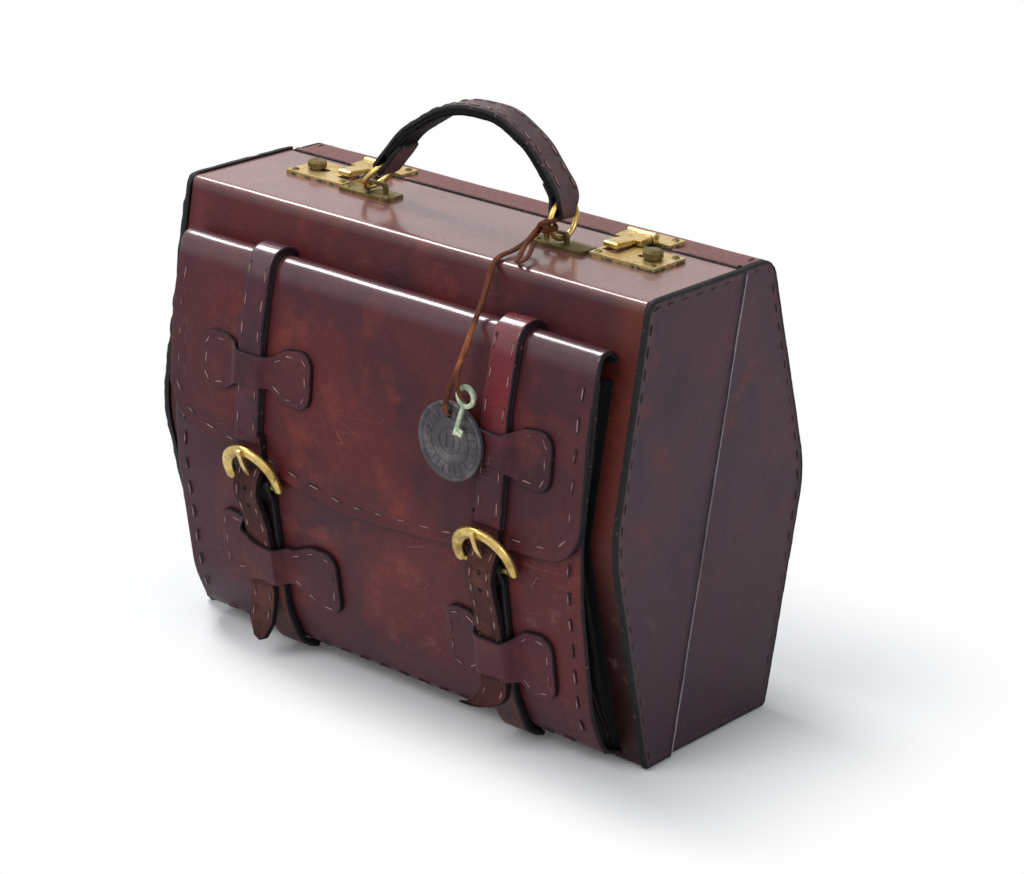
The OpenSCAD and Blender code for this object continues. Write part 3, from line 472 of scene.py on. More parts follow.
class Paint:
    """A material that is written as expressions."""

    def __init__(self, name):
        self.material = bpy.data.materials.new(name)
        self.material.use_nodes = True
        self.tree = self.material.node_tree
        self.shader = self.tree.nodes["Principled BSDF"]
        self.place = self.node("ShaderNodeTexCoord", {}, {})["Object"]

    def feed(self, socket, value):
        """A link from a wire, or a plain value, into a socket."""
        if isinstance(value, Wire):
            self.tree.links.new(value.socket, socket)
        else:
            socket.default_value = value

    def node(self, kind, settings, inputs):
        """Any node: its type, its settings, which are set first, and the values or wires of its sockets."""
        made = self.tree.nodes.new(kind)
        for key, value in settings.items():
            setattr(made, key, value)
        for key, value in inputs.items():
            self.feed(made.inputs[key], value)

        class Outputs:
            def __getitem__(_, key):
                return Wire(self, made.outputs[key])

        return Outputs()

    def noise(self, scale, detail=4.0, rough=0.55, place=None, warp=0.0):
        """Cloudy noise from 0 to 1, scale lumps to the metre."""
        return self.node("ShaderNodeTexNoise", {}, {"Vector": place or self.place, "Scale": scale, "Detail": detail,
                                                    "Roughness": rough, "Distortion": warp})["Fac"]

    def cells(self, scale, feature="F1", place=None):
        """Distance to the nearest of scattered points, or to the lines half way between them."""
        return self.node("ShaderNodeTexVoronoi", {"feature": feature},
                         {"Vector": place or self.place, "Scale": scale})["Distance"]

    def stretched(self, scale, turn=(0, 0, 0)):
        """The place on the object, turned and scaled unevenly, for marks that run one way."""
        return self.node("ShaderNodeMapping", {}, {"Vector": self.place, "Scale": scale, "Rotation": turn})["Vector"]

    def mark(self, name):
        """A float attribute of the mesh."""
        return self.node("ShaderNodeAttribute", {"attribute_name": name}, {})["Fac"]

    def axis(self, index):
        """One coordinate of the place on the object, in metres."""
        return self.node("ShaderNodeSeparateXYZ", {}, {"Vector": self.place})[index]

    def seen(self):
        """1 for rays that show the background: from the camera, or by way of metal or glass."""
        rays = self.node("ShaderNodeLightPath", {}, {})
        return rays["Is Camera Ray"].at_least(rays["Is Glossy Ray"]).at_least(rays["Is Transmission Ray"])

    def mix(self, share, first, second):
        """The first colour with a share of the second one laid over it."""
        return self.node("ShaderNodeMix", {"data_type": "RGBA"}, {0: share, 6: first, 7: second})[2]

    def bump(self, height, strength, distance, before=None):
        """A normal that follows a height of distance metres, on top of another normal where one is given."""
        inputs = {"Height": height, "Strength": strength, "Distance": distance}
        if before is not None:
            inputs["Normal"] = before
        return self.node("ShaderNodeBump", {}, inputs)["Normal"]

    def finish(self, **sockets):
        """Feeds the shader's sockets, whose names are written with underscores."""
        for key, value in sockets.items():
            self.feed(self.shader.inputs[key.replace("_", " ")], value)
        return self.material


def tint(red, green, blue):
    """A colour given as it looks on screen, from 0 to 255."""
    shares = (c / 255 for c in (red, green, blue))
    return tuple(c / 12.92 if c <= 10 / 255 else ((c + 0.055) / 1.055) ** 2.4 for c in shares) + (1,)


X_AXIS, Y_AXIS, Z_AXIS = 0, 1, 2


def hide(name, deep, middle, warm, dust, edge=(20, 17, 21), gloss=0.34, wear=1.0, scratch=1.0, grain=1.0, shine=0.22,
         bands=(), polish=None):
    """Old polished leather: cloudy dye, fine grain, rubbed places, scratches and a burnished rim. Each band of bands,
    (axis, from, to, colour, share), lays a colour over the part beyond a place on that axis. Above the heights of
    polish it is rubbed shiny."""
    p = Paint(name)
    cloud = p.noise(9, 5, 0.6, warp=0.6)
    blotch = p.noise(28, 4, 0.6)
    fine = p.noise(260, 3, 0.6)
    colour = p.mix(cloud.step(0.36, 0.62), tint(*deep), tint(*middle))
    colour = p.mix(blotch.step(0.50, 0.72) * 0.8, colour, tint(*warm))
    for index, start, end, over, share in bands:
        reach = p.axis(index).step(start, end) * (0.75 + blotch * 0.5).at_most(1.0) * share
        colour = p.mix(reach, colour, tint(*over))
    colour = p.mix(fine.step(0.35, 0.75) * 0.35, colour, tint(*deep))
    rubbed = p.noise(60, 6, 0.72).step(0.56, 0.76) * p.noise(5, 2, 0.5).step(0.42, 0.62) * wear
    colour = p.mix(rubbed * 0.38, colour, tint(*dust))
    lines = p.cells(1, "DISTANCE_TO_EDGE", p.stretched((16, 16, 70), (0.5, 0.35, 0.6)))
    nicks = p.noise(140, 2, 0.5).step(0.62, 0.72)
    scratches = (1 - lines.step(0.0, 0.007)) * p.noise(19, 2, 0.5).step(0.56, 0.68) * scratch
    colour = p.mix(scratches * 0.42, colour, tint(*dust))
    rim = p.mark("rim")
    burnt = (rim + p.noise(120, 3, 0.6) * 0.35 - 0.17).step(0.28, 0.62)
    colour = p.mix(burnt, colour, tint(*edge))
    colour = p.mix(burnt * p.noise(210, 3, 0.7).step(0.60, 0.72) * 0.4, colour, tint(*dust))
    grain_height = p.cells(620, "F1") * 0.5 + p.noise(900, 2, 0.5) * 0.6
    creases = p.noise(42, 5, 0.65, p.stretched((1, 1, 2.2)))
    normal = p.bump(creases, 0.28 * grain, 0.0016)
    normal = p.bump(grain_height, 0.20 * grain, 0.00022, normal)
    normal = p.bump(scratches + nicks * 0.15, -0.25, 0.0002, normal)
    rough = gloss + cloud * 0.16 + fine * 0.10 + rubbed * 0.14 + burnt * 0.12
    coat = 0.0
    if polish:
        coat = p.axis(Z_AXIS).step(*polish) * (0.65 + cloud * 0.5) * (1 - burnt)
    return p.finish(Base_Color=colour, Roughness=rough, Normal=normal, Specular_IOR_Level=shine, Coat_Weight=coat,
                    Coat_Roughness=0.16)


# dyes as (red, green, blue) on screen; bands as (axis, from, to, colour, share), several of which are painted light and
# shade, and polish as (from, to) in metres
DEEP, MIDDLE, WARM, DUST = (62, 22, 30), (90, 32, 35), (116, 48, 40), (146, 104, 102)
STRAP_EDGE = (26, 13, 19)
# the top faces are painted a lighter dusty rose: a painted sheen of the light they catch
TOP_PAINTED_SHEEN = (Z_AXIS, 0.3455, 0.3500, (140, 90, 84), 0.65)
RUST_BESIDE_GUSSET = (X_AXIS, 0.178, 0.206, (98, 42, 30), 0.75)
# the shell's front turns near black from the pocket's middle height down: painted shade behind the pocket
PAINTED_SHADE_BEHIND_POCKET = (Z_AXIS, 0.25, 0.09, (22, 10, 13), 0.9)
TOP_SHINE, FOLD_SHINE = (0.340, 0.3465), (0.298, 0.309)

oxblood = hide("oxblood_leather", DEEP, MIDDLE, WARM, DUST, bands=[TOP_PAINTED_SHEEN])
cover_leather = hide("cover_leather", DEEP, MIDDLE, WARM, DUST, polish=TOP_SHINE,
                     bands=[RUST_BESIDE_GUSSET, PAINTED_SHADE_BEHIND_POCKET, TOP_PAINTED_SHEEN])
# the pocket's second band darkens it to purple towards its foot: painted shade near the floor
pocket_leather = hide("pocket_leather", (60, 24, 34), MIDDLE, WARM, DUST,
                      bands=[(X_AXIS, -0.10, -0.19, (58, 34, 50), 0.8), (Z_AXIS, 0.075, 0.02, (54, 28, 42), 0.7)])
# the flap's band above 0.31 m tints the upper flap purple: a painted sheen below the fold
flap_leather = hide("flap_leather", (58, 22, 32), MIDDLE, WARM, DUST, polish=FOLD_SHINE,
                    bands=[(X_AXIS, -0.14, -0.20, (62, 34, 44), 0.6), (Z_AXIS, 0.26, 0.31, (76, 34, 44), 0.5),
                           (X_AXIS, 0.14, 0.18, (64, 32, 42), 0.5)])
strap_leather = {-1: hide("strap_leather_left", (52, 26, 40), (82, 38, 50), (100, 46, 52), (150, 116, 122),
                          edge=STRAP_EDGE, polish=FOLD_SHINE),
                 1: hide("strap_leather_right", (60, 24, 36), (92, 36, 44), (116, 46, 50), (150, 110, 112),
                         edge=STRAP_EDGE, polish=FOLD_SHINE, bands=[(Z_AXIS, 0.23, 0.27, (140, 46, 52), 0.5)])}
keeper_leather = hide("keeper_leather", (52, 20, 30), (78, 32, 40), (96, 42, 42), (132, 98, 100), edge=(14, 8, 11))
# the chape's band paints it near black above 0.098 m: painted shade where it lies in shadow beside the billet
chape_leather = hide("chape_leather", (50, 22, 26), (78, 36, 34), (104, 56, 42), (132, 98, 92),
                     bands=[(Z_AXIS, 0.082, 0.098, (9, 8, 11), 1.0)])
# end panels (and gusset lines): a purple-grey copy of the leather, partly the panels' own tone and partly painted shade
# with a painted bluish reflection; its band darkens them towards the base, painted shade near the floor
shaded_end_leather = hide("dusk_leather", (54, 32, 46), (72, 43, 54), (88, 42, 45), (118, 92, 100), edge=(8, 7, 10), gloss=0.40,
            scratch=0.7, shine=0.28, bands=[(Z_AXIS, 0.20, 0.02, (40, 20, 30), 0.75)])
handle_leather = hide("handle_leather", (58, 40, 48), (90, 66, 70), (104, 70, 66), (156, 138, 138), wear=2.0,
                      edge=(12, 10, 13), shine=0.3)
# a pale leather for the seam's bead: a painted highlight of the front end panel's lit rim
highlight_bead_leather = hide("seam_highlight_bead_leather", (128, 112, 122), (156, 142, 150), (150, 120, 118), (186, 176, 180),
                    gloss=0.4)
suede = hide("raw_leather", (48, 26, 27), (76, 43, 41), (100, 62, 54), (144, 112, 104), gloss=0.62, grain=1.8,
             scratch=0.2, edge=(20, 13, 15), shine=0.15, bands=[(Z_AXIS, 0.160, 0.170, (86, 36, 44), 0.9)])
lace_leather = hide("lace_leather", (58, 28, 20), (112, 60, 38), (164, 98, 60), (196, 146, 104), gloss=0.6, grain=1.5,
                    scratch=0.2, edge=(30, 18, 16), shine=0.15)
black = hide("black_edge_leather", (6, 5, 8), (11, 9, 13), (20, 14, 17), (52, 48, 54), edge=(6, 5, 8), gloss=0.42,
             grain=1.6, scratch=0.3, shine=0.14)


def metal(name, bright, dull, dark, patina, rough=0.3, worn=0.5, green=0.0, green_below=0.0, dents=0.12):
    """Old brass: a dull skin that is rubbed bright in places, dirt in its hollows and verdigris, which stays below
    the height green_below where one is given."""
    p = Paint(name)
    cloud = p.noise(55, 5, 0.62)
    fine = p.noise(420, 3, 0.6)
    shine = (cloud + fine * 0.25 - 0.12).step(worn - 0.14, worn + 0.14)
    colour = p.mix(shine, tint(*dull), tint(*bright))
    dirt = p.noise(150, 4, 0.65).step(0.56, 0.72)
    colour = p.mix(dirt * 0.6, colour, tint(*dark))
    rust = p.noise(210, 3, 0.6).step(0.40, 0.60) * green
    if green_below:
        rust = rust * (1 - p.axis(Z_AXIS).step(green_below - 0.0012, green_below))
    colour = p.mix(rust, colour, tint(*patina))
    lines = p.noise(900, 2, 0.5, p.stretched((0.15, 1, 1)))
    normal = p.bump(lines, 0.08, 0.0001)
    normal = p.bump(cloud + dirt * -0.5, dents, 0.0004, normal)
    return p.finish(Base_Color=colour, Metallic=1 - rust * 0.9 - dirt * 0.25, Normal=normal,
                    Roughness=rough + (1 - shine) * 0.18 + dirt * 0.15 + rust * 0.3)


gold = metal("polished_brass", (214, 184, 112), (160, 132, 70), (70, 56, 34), (52, 92, 76), rough=0.24, worn=0.42,
             green=0.12, dents=0.03)
plate_brass = metal("plate_brass", (206, 182, 128), (172, 146, 92), (78, 64, 40), (24, 82, 66), rough=0.36, worn=0.44,
                    green=1.0, green_below=0.3522)
old_brass = metal("dull_brass", (150, 132, 84), (98, 84, 50), (44, 38, 26), (44, 78, 64), rough=0.40, worn=0.56,
                  green=0.15)
key_metal = metal("key_metal", (214, 216, 186), (158, 164, 130), (66, 72, 50), (104, 146, 116), rough=0.34, worn=0.42,
                  green=0.7)
tag_metal = metal("tag_metal", (112, 106, 108), (84, 80, 86), (40, 38, 42), (84, 80, 78), rough=0.44, worn=0.56,
                  green=0.1)


def make_thread(name, deep, worn, crown_highlight, share):
    """Waxed leather lace: dark, with a painted highlight on its crown and painted shadow, black, where it goes into its
    slit.
    """
    p = Paint(name)
    crown = p.mark("crown")
    tone = p.noise(70, 3, 0.6)
    colour = p.mix(tone.step(0.35, 0.65), tint(*deep), tint(*worn))
    # painted highlight on the crown
    colour = p.mix((crown * tone).step(0.30, 0.52) * share, colour, tint(*crown_highlight))
    # painted shadow: black at the foot and on the flat skirt, where the stitch sinks into its slit
    colour = p.mix((0.55 - crown).step(0.0, 0.25), colour, tint(6, 4, 6))
    return p.finish(Base_Color=colour, Roughness=0.46, Normal=p.bump(p.noise(700, 2, 0.6), 0.3, 0.0002),
                    Specular_IOR_Level=0.3)


thread = make_thread("lace_stitch", (42, 18, 24), (80, 38, 38), (156, 116, 112), 1.0)
# a darker copy of the thread for the edge rows on and beside the end panels: partly its own tone, partly painted shade
dark_thread = make_thread("edge_stitch", (18, 12, 15), (38, 24, 28), (88, 70, 76), 0.6)


def make_lining():
    """Glued cloth lining: a fine two-way weave over stained board."""
    p = Paint("cloth_lining")
    warp, weft = (p.node("ShaderNodeTexWave", {"wave_type": "BANDS", "bands_direction": way},
                         {"Vector": p.place, "Scale": 420.0, "Distortion": 0.6})["Fac"] for way in "XZ")
    weave = warp * 0.5 + weft * 0.5
    stain = p.noise(7, 5, 0.6).step(0.45, 0.72)
    colour = p.mix(stain, tint(150, 124, 94), tint(112, 88, 64))
    colour = p.mix(weave * 0.3, colour, tint(84, 64, 46))
    return p.finish(Base_Color=colour, Roughness=0.9, Normal=p.bump(weave, 0.35, 0.0003), Sheen_Weight=0.25)


lining = make_lining()


def dress(piece, material, body=None, slot=None, stands_for=()):
    """Gives a piece its material and body, and hides the solids that it stands for. slot is not used."""
    piece.data.materials.clear()
    piece.data.materials.append(material)
    if body:
        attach(piece, body)
    if stands_for:
        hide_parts(*stands_for)
    return piece


def rectangle(a0, a1, b0, b1):
    """The corners of a rectangle in (a, b)."""
    return [(a0, b0), (a1, b0), (a1, b1), (a0, b1)]


# stitches: laces sunk at both ends, made many at a time. A section of (across, up), how much of it is crown, and
# from end to end the place, the height and the width of each of its copies
STITCH_SECTION = np.array([(-1.75, 0.03), (-1.0, 0.02), (-0.85, 0.42), (-0.4, 0.72), (0.4, 0.72), (0.85, 0.42),
                           (1.0, 0.02), (1.75, 0.03), (1.2, -0.5), (-1.2, -0.5)])
# the crown share sets the painted highlight; where it is 0, on the flat skirt and the foot, the thread is painted black
# as shade
STITCH_CROWN = np.array([0.0, 0.0, 0.7, 1.0, 1.0, 0.7, 0.0, 0.0, 0.0, 0.0])
STITCH_AT = np.array([-1.12, -1.0, -0.82, -0.4, 0.0, 0.4, 0.82, 1.0, 1.12])
STITCH_ARC = np.array([0.0, 0.12, 0.75, 1.0, 1.06, 1.0, 0.75, 0.12, 0.0])
STITCH_WIDE = np.array([0.35, 0.8, 1.0, 1.0, 1.0, 1.0, 1.0, 0.8, 0.35])
UNEVEN = 0.10       # share by which a stitch's length and direction vary


def stitches(name, centres, along, normals, length=9.5, width=1.0):
    """Stitches at centres, lying along their seam: a section swept over length, its height a flat-topped arc that
    sinks into the leather at both ends."""
    centres, along, normals = (np.asarray(v, float).reshape(-1, 3) for v in (centres, along, normals))
    along = units(along)
    across = np.cross(normals, along)
    count, n, m = len(centres), len(STITCH_AT), len(STITCH_SECTION)
    jitter = np.random.default_rng(count + int(abs(centres[0][0]))).uniform(-1, 1, (count, 3))
    long = length / 2 * (1 + UNEVEN * jitter[:, 0])
    lean = UNEVEN * jitter[:, 1]
    arc, up = STITCH_ARC[:, None], STITCH_SECTION[None, :, 1]
    rise = np.where(up > 0.1, up, 0) * arc + np.where(up > 0.1, 0, up)
    wide = STITCH_SECTION[None, :, 0] * STITCH_WIDE[:, None] * width
    points, faces = [], []
    for k in range(count):
        direction = unit(along[k] + across[k] * lean[k])
        side = np.cross(normals[k], direction)
        points.append(centres[k] + long[k] * STITCH_AT[:, None, None] * direction + wide[..., None] * side
                      + rise[..., None] * normals[k])
        faces += grid_faces(n, m, k * n * m, wrap_m=True) + caps(n, m, k * n * m)
    crown = np.broadcast_to(STITCH_CROWN * arc, (count, n, m))
    return outward_faces(new_piece(name, np.array(points), faces, {"crown": crown}, sharp=80))


def seam(line, pitch, first=0.5):
    """Evenly spaced places and directions along a line of points: (centres, directions)."""
    line = np.asarray(line, float)
    s = lengths_along(line)
    count = max(1, round(s[-1] / pitch))
    at = (np.arange(count) + first) * s[-1] / count
    centres, ahead, behind = (np.stack([np.interp(a, s, line[:, k]) for k in range(3)], -1)
                              for a in (at, at + 1, at - 1))
    return centres, ahead - behind


class Rows:
    """Collects stitches that ride on one body and makes them one piece."""

    def __init__(self):
        self.sets = []

    def add(self, line, normal, pitch=21.0, length=9.5, first=0.5, width=0.62):
        """A row along a line of points; normal is a function of the centres, or one vector."""
        centres, along = seam(line, pitch, first)
        normals = normal(centres) if callable(normal) else np.broadcast_to(normal, centres.shape)
        self.sets.append((centres, along, normals, length, width))

    def make(self, name, body, slot, material=thread):
        """The rows as one piece, dressed and riding on the body."""
        parts = [stitches(f"{name}_{k}", c, a, n, length, width)
                 for k, (c, a, n, length, width) in enumerate(self.sets)]
        return dress(merged(name, parts), material, body, slot)


def path_line(path, x, s, h):
    """Points on a side profile for a seam."""
    return on_sides(path, np.broadcast_to(x, np.shape(s)), s, np.full(np.shape(s), float(h)))


def path_normals(path):
    """Normals of a side profile at points near it, as a function."""
    table = np.linspace(0, path.length, 400)
    spots, outs = path.at(table), path.outward(table)

    def normals(centres):
        """The profile's normals at the places on it that are nearest."""
        nearest = np.argmin(np.linalg.norm(centres[:, None, 1:] - spots[None], axis=2), axis=1)
        return np.concatenate([np.zeros((len(centres), 1)), outs[nearest]], axis=1)
    return normals


def gentle(amount, near=6.0, seed_shift=0.0, scale=70.0):
    """Uneven leather: slow and quick lattice noise, fading out towards the rim."""
    def swell(a, b, rim):
        slow = wander(a + seed_shift, b, scale)
        quick = wander(a, b + seed_shift, scale / 3.4)
        return amount * (0.75 * slow + 0.25 * quick) * np.clip(rim / near, 0, 1)
    return swell


# the lace from the handle's ring to the tag, and its end that carries the key
def run(points, steps=8):
    """Smooth line through the middles of a given path's legs: quadratic arcs, as in the solid model."""
    p = np.asarray(points, float)
    t = (np.arange(steps) / steps)[:, None]
    arcs = [(1 - t) ** 2 * (a + b) / 2 + 2 * t * (1 - t) * b + t * t * (b + c) / 2
            for a, b, c in zip(p, p[1:], p[2:])]
    return np.concatenate([p[:1], *arcs, [(p[-2] + p[-1]) / 2, p[-1]]])


def lace(name, line, half_w, half_t, sides=12):
    """A flat lace along a line: a squared ellipse whose wide side stays as level along X as the line allows."""
    p = np.asarray(line, float)
    n = len(p)
    along = units(np.gradient(p, axis=0))
    across = units(np.array([1.0, 0, 0]) - along * along[:, :1])
    other = np.cross(along, across)
    c, s = np.cos(circle(sides)), np.sin(circle(sides))
    wide, thick = squared(c, 0.6, half_w), squared(s, 0.8, half_t)
    steps = lengths_along(p)
    uneven = 1 + 0.10 * wander(steps, steps * 0, 9.0)
    ring = p[:, None] + (uneven[:, None, None] * wide[None, :, None] * across[:, None]
                         + thick[None, :, None] * other[:, None])
    faces = grid_faces(n, sides, wrap_m=True) + caps(n, sides)
    rim = np.broadcast_to(np.abs(c)[None, :] ** 4 * 0.25, (n, sides))
    return outward_faces(new_piece(name, ring, faces, {"rim": rim}))


def declare_cord(line):
    """Takes a lace's line in metres and does nothing with it."""
    line = np.asarray(line) * MM


# the laces' routes, as in the solid model, and the sizes of their sections: the half width and the half thickness
LACE, FREE_LACE, KEY_LACE = (2.3, 1.15), (1.9, 0.9), (1.9, 1.05)
knot_route = [[88, -44, 367], [83, -46, 360], [82, -54, 356], [82.5, -62, 354.5]]
thong_route = [[82.5, -62, 354.5], [83, -70, 353], [84, -86, 353], [84, -93, 348], [86, -99, 338],
               [90, -110, 326], [94, -121, 317], [95, -128.5, 306], [94, -135, 291], [92, -143, 276],
               [91, -147, 264], [90.5, -147, 256.5], [90.5, -144.5, 253.2], [90.5, -139.6, 253]]
key_route = [[95.1, -136.4, 291.5], [97.6, -139.1, 292.5], [101.5, -148, 287], [106.5, -153, 278.5],
             [109.5, -151.5, 270.5], [110, -144.6, 268.5]]
heart_route = [[97, -47, 372], [91, -50.5, 370], [87, -47, 367], [86, -44, 363]]
free_route = [[86, -46, 366], [88, -60, 360], [96, -78, 354.6], [104, -92, 353.4], [108, -88, 354.8],
              [103, -76, 355.6], [92, -58, 359]]
KNOT_X, KNOT_Y = 94.2, -44.6
KNOT_LOOPS = (365.2, 0.3, 4.6), (368.2, -0.35, 4.9), (371.4, 0.25, 4.5)       # height, tilt and radius


def make_laces():
    """The knot on the ring, three tilted loops, its free end, the thong to the tag and the branch to the key."""
    turn = circle(24)
    parts = [lace("knot_run", run(knot_route), *LACE)]
    for z, tilt, r in KNOT_LOOPS:
        loop = np.stack([KNOT_X + r * np.cos(turn), KNOT_Y + r * np.sin(turn), z + tilt * r * np.cos(turn)], -1)
        parts.append(tube("knot_loop", loop, 1.5, sides=8, closed=True))
    parts.append(tube("knot_heart", run(heart_route), 2.0, sides=8))
    parts.append(lace("knot_end", run(free_route), *FREE_LACE))
    knot = merged("thong_knot", parts)
    dress(knot, lace_leather, slot="raw_leather")
    thong_line, key_line = run(thong_route), run(key_route)
    thong = lace("thong_lace", thong_line, *LACE)
    branch = lace("key_lace", key_line, *KEY_LACE)
    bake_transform(knot)
    dress(thong, lace_leather, slot="raw_leather", stands_for=["thong"])
    dress(branch, lace_leather, slot="raw_leather", stands_for=["thong_end"])
    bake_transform(thong)
    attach(branch, "flap")
    declare_cord(thong_line)
    declare_cord(key_line)


make_laces()


# the two shells
HASPS_MIDDLE, HASPS_HALF = 3, 127.5
END_OVER = 3        # how far the front end panels reach over the seam
END_EDGE = 1.5      # how far they stand out round the cover
SIDE_END = {"front": FRONT_HALF, "rear": REAR_HALF}       # inner faces of the end panels
SHELL_BODY = {"front": "case_front", "rear": "case_back"}
front_end_path = Path(front_outline(seam_y(CASE_H) + END_OVER, seam_y(0) + END_OVER), 1.5)


def make_covers():
    """Skins of the shells: each side profile carried along X."""
    front = Path(front_outline(seam_y(CASE_H) - SEAM_GAP, -59.6, top_r=5), 1.5)
    cover = leather("front_skin", rectangle(-FRONT_HALF, FRONT_HALF, 0, front.length),
                    lambda a, b, h: on_sides(front, a, b, h - SKIN), SKIN, step=(7, 2.6), swell=gentle(0.45))
    dress(cover, cover_leather, "case_front", "oxblood_leather", ["front_cover"])
    rear = Path(rear_outline(-35.4, seam_y(CASE_H) + SEAM_GAP), 1.5)

    def lip(a, b, rim):
        """The rolled edge along the top seam, flatter at the hasps, on gently uneven leather."""
        away = rear.length - b
        hasps = np.exp(-((np.abs(a - HASPS_MIDDLE) - HASPS_HALF) / 26) ** 4)
        return 2.2 * np.exp(-((away - 3.2) / 2.4) ** 2) * (1 - hasps) + gentle(0.45, seed_shift=31)(a, b, rim)

    cover = leather("rear_skin", rectangle(-REAR_HALF, REAR_HALF, 0, rear.length),
                    lambda a, b, h: on_sides(rear, a, b, h - SKIN), SKIN, step=(7, 2.4), swell=lip)
    dress(cover, oxblood, "case_back", "oxblood_leather", ["rear_cover"])
    return rear


def ridge(amount, width, seed_shift=0.0):
    """A raised, wavy raw edge: a narrow hump just inside the rim, its height and place wandering along it."""
    def swell(a, b, rim):
        wave = 1 + 0.35 * wander(a + seed_shift, b, 9.0) + 0.25 * wander(a, b + seed_shift, 3.5)
        hump = np.exp(-((rim - 1.4) / width) ** 2)
        return amount * hump * wave + gentle(0.5, seed_shift=seed_shift)(a, b, rim)
    return swell


def make_ends():
    """End panels: the outline is the shell's profile moved outwards, closed by the seam. A pale bead runs down the
    front panel's edge, a painted highlight of its lit rim, and a black tube beside it is a painted shadow of the step
    to the rear panel, both tubes along the seam."""
    edge = front_end_path.off(np.linspace(0, front_end_path.length, 260), END_EDGE)
    front = np.concatenate([edge, [[seam_y(0) + END_OVER, 0]], [[seam_y(CASE_H) + END_OVER, CASE_H + END_EDGE]]])
    front = front[:, ::-1]
    front[:, 0] = np.clip(front[:, 0], 0, None)
    rear = rear_outline(seam_y(0) + SEAM_GAP, seam_y(CASE_H) + SEAM_GAP, step=3)[:, ::-1]
    z = np.linspace(4, CASE_H - 3, 90)
    unmarked = {"rim": np.zeros((len(z), 8))}
    for side, word in SIDES.items():
        for shell, outline, round_r, burn, swell in (
                ("front", front, 1.6, 3.4, ridge(1.1 if side > 0 else 3.2, 1.5, 5 + side)),
                ("rear", rear, 1.4, 3.0, ridge(0.7, 1.4, 15 + side))):
            panel = leather(f"{shell}_end_skin_{word}", outline,
                            lambda a, b, h: np.stack([side * (SIDE_END[shell] + h), b, a], -1), SKIN, step=4.0,
                            round_r=round_r, burn=burn, swell=swell)
            dress(panel, shaded_end_leather, SHELL_BODY[shell], "dusk_leather", [f"{shell}_end_{word}"])
        x, y = np.full(len(z), side * (FRONT_HALF + SKIN + 0.7)), seam_y(z) + 2.3 + 0.25 * wander(z, z * 0, 12.0)
        bead = np.stack([x, y, z], -1)
        # a black tube just behind the bead: painted shadow of the step between the end panels
        painted_shadow = bead + [side * -3.6, 2.6, 0]
        dress(tube(f"seam_painted_shadow_{word}", painted_shadow, 1.6, sides=8, marks=unmarked), black, "case_back", "black_leather")
        # the bead's pale leather is a painted highlight along the front panel's rim
        dress(tube(f"seam_highlight_bead_{word}", bead, 0.75, sides=8, marks=unmarked), highlight_bead_leather, "case_front",
              "dusk_leather")


rear_skin_path = make_covers()
make_ends()


def make_bottom_hinge():
    """The strip under the seam, on no body."""
    strip = leather("seam_strip", rectangle(-REAR_HALF, REAR_HALF, -59.3, -35.7),
                    lambda a, b, h: np.stack([a, b, SKIN - h], -1), SKIN, step=(9, 1.6), bare_under=False)
    dress(strip, oxblood, slot="oxblood_leather", stands_for=["bottom_hinge"])
    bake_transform(strip)


make_bottom_hinge()
for node in ("front_tray", "rear_tray"):
    nodes[node].data.materials.clear()
    nodes[node].data.materials.append(lining)


# the pocket, its gussets, the chapes and the keepers below the buckles
def height_to_length(path, from_s=0.0):
    """A table that gives the length along a falling path for a height."""
    s = np.linspace(from_s, path.length, 500)
    z = path.at(s)[:, 1]
    return lambda height: np.interp(height, z[::-1], s[::-1])


pocket_s = height_to_length(pocket_path)
flap_s = height_to_length(flap_path, flap_path.reach(316))


def make_pocket():
    """The pocket's front: its side profile carried along X, fuller in the middle, with a thick burnished edge."""
    crown = 1.3

    def full(a, b, rim):
        """A squared sine down the path times a flat cosine across it, faded out at the rim, on uneven leather."""
        down, across = np.sin(np.pi * b / pocket_path.length) ** 2, np.cos(a / POCKET_HALF * np.pi / 2) ** 0.5
        return crown * down * across * np.clip(rim / 20, 0, 1) + gentle(0.7, seed_shift=9)(a, b, rim)
    front = leather("pocket_skin", rectangle(-POCKET_HALF, POCKET_HALF, 0, pocket_path.length),
                    lambda a, b, h: on_sides(pocket_path, a, b, h - POCKET_T), POCKET_T, step=(5, 3), round_r=1.8,
                    swell=lambda a, b, rim: full(a, b, rim) - crown)
    dress(front, pocket_leather, "case_front", "oxblood_leather", ["pocket_front"])


make_pocket()


GUSSET_DEPTH, PLEAT_DEPTH, GUSSET_T = 13, 2.4, 2.0
# pale lines along two pleats of each gusset: painted highlights on their folds
GUSSET_HIGHLIGHTS = (22, 0.45), (38, 0.3)       # column of the grid and radius


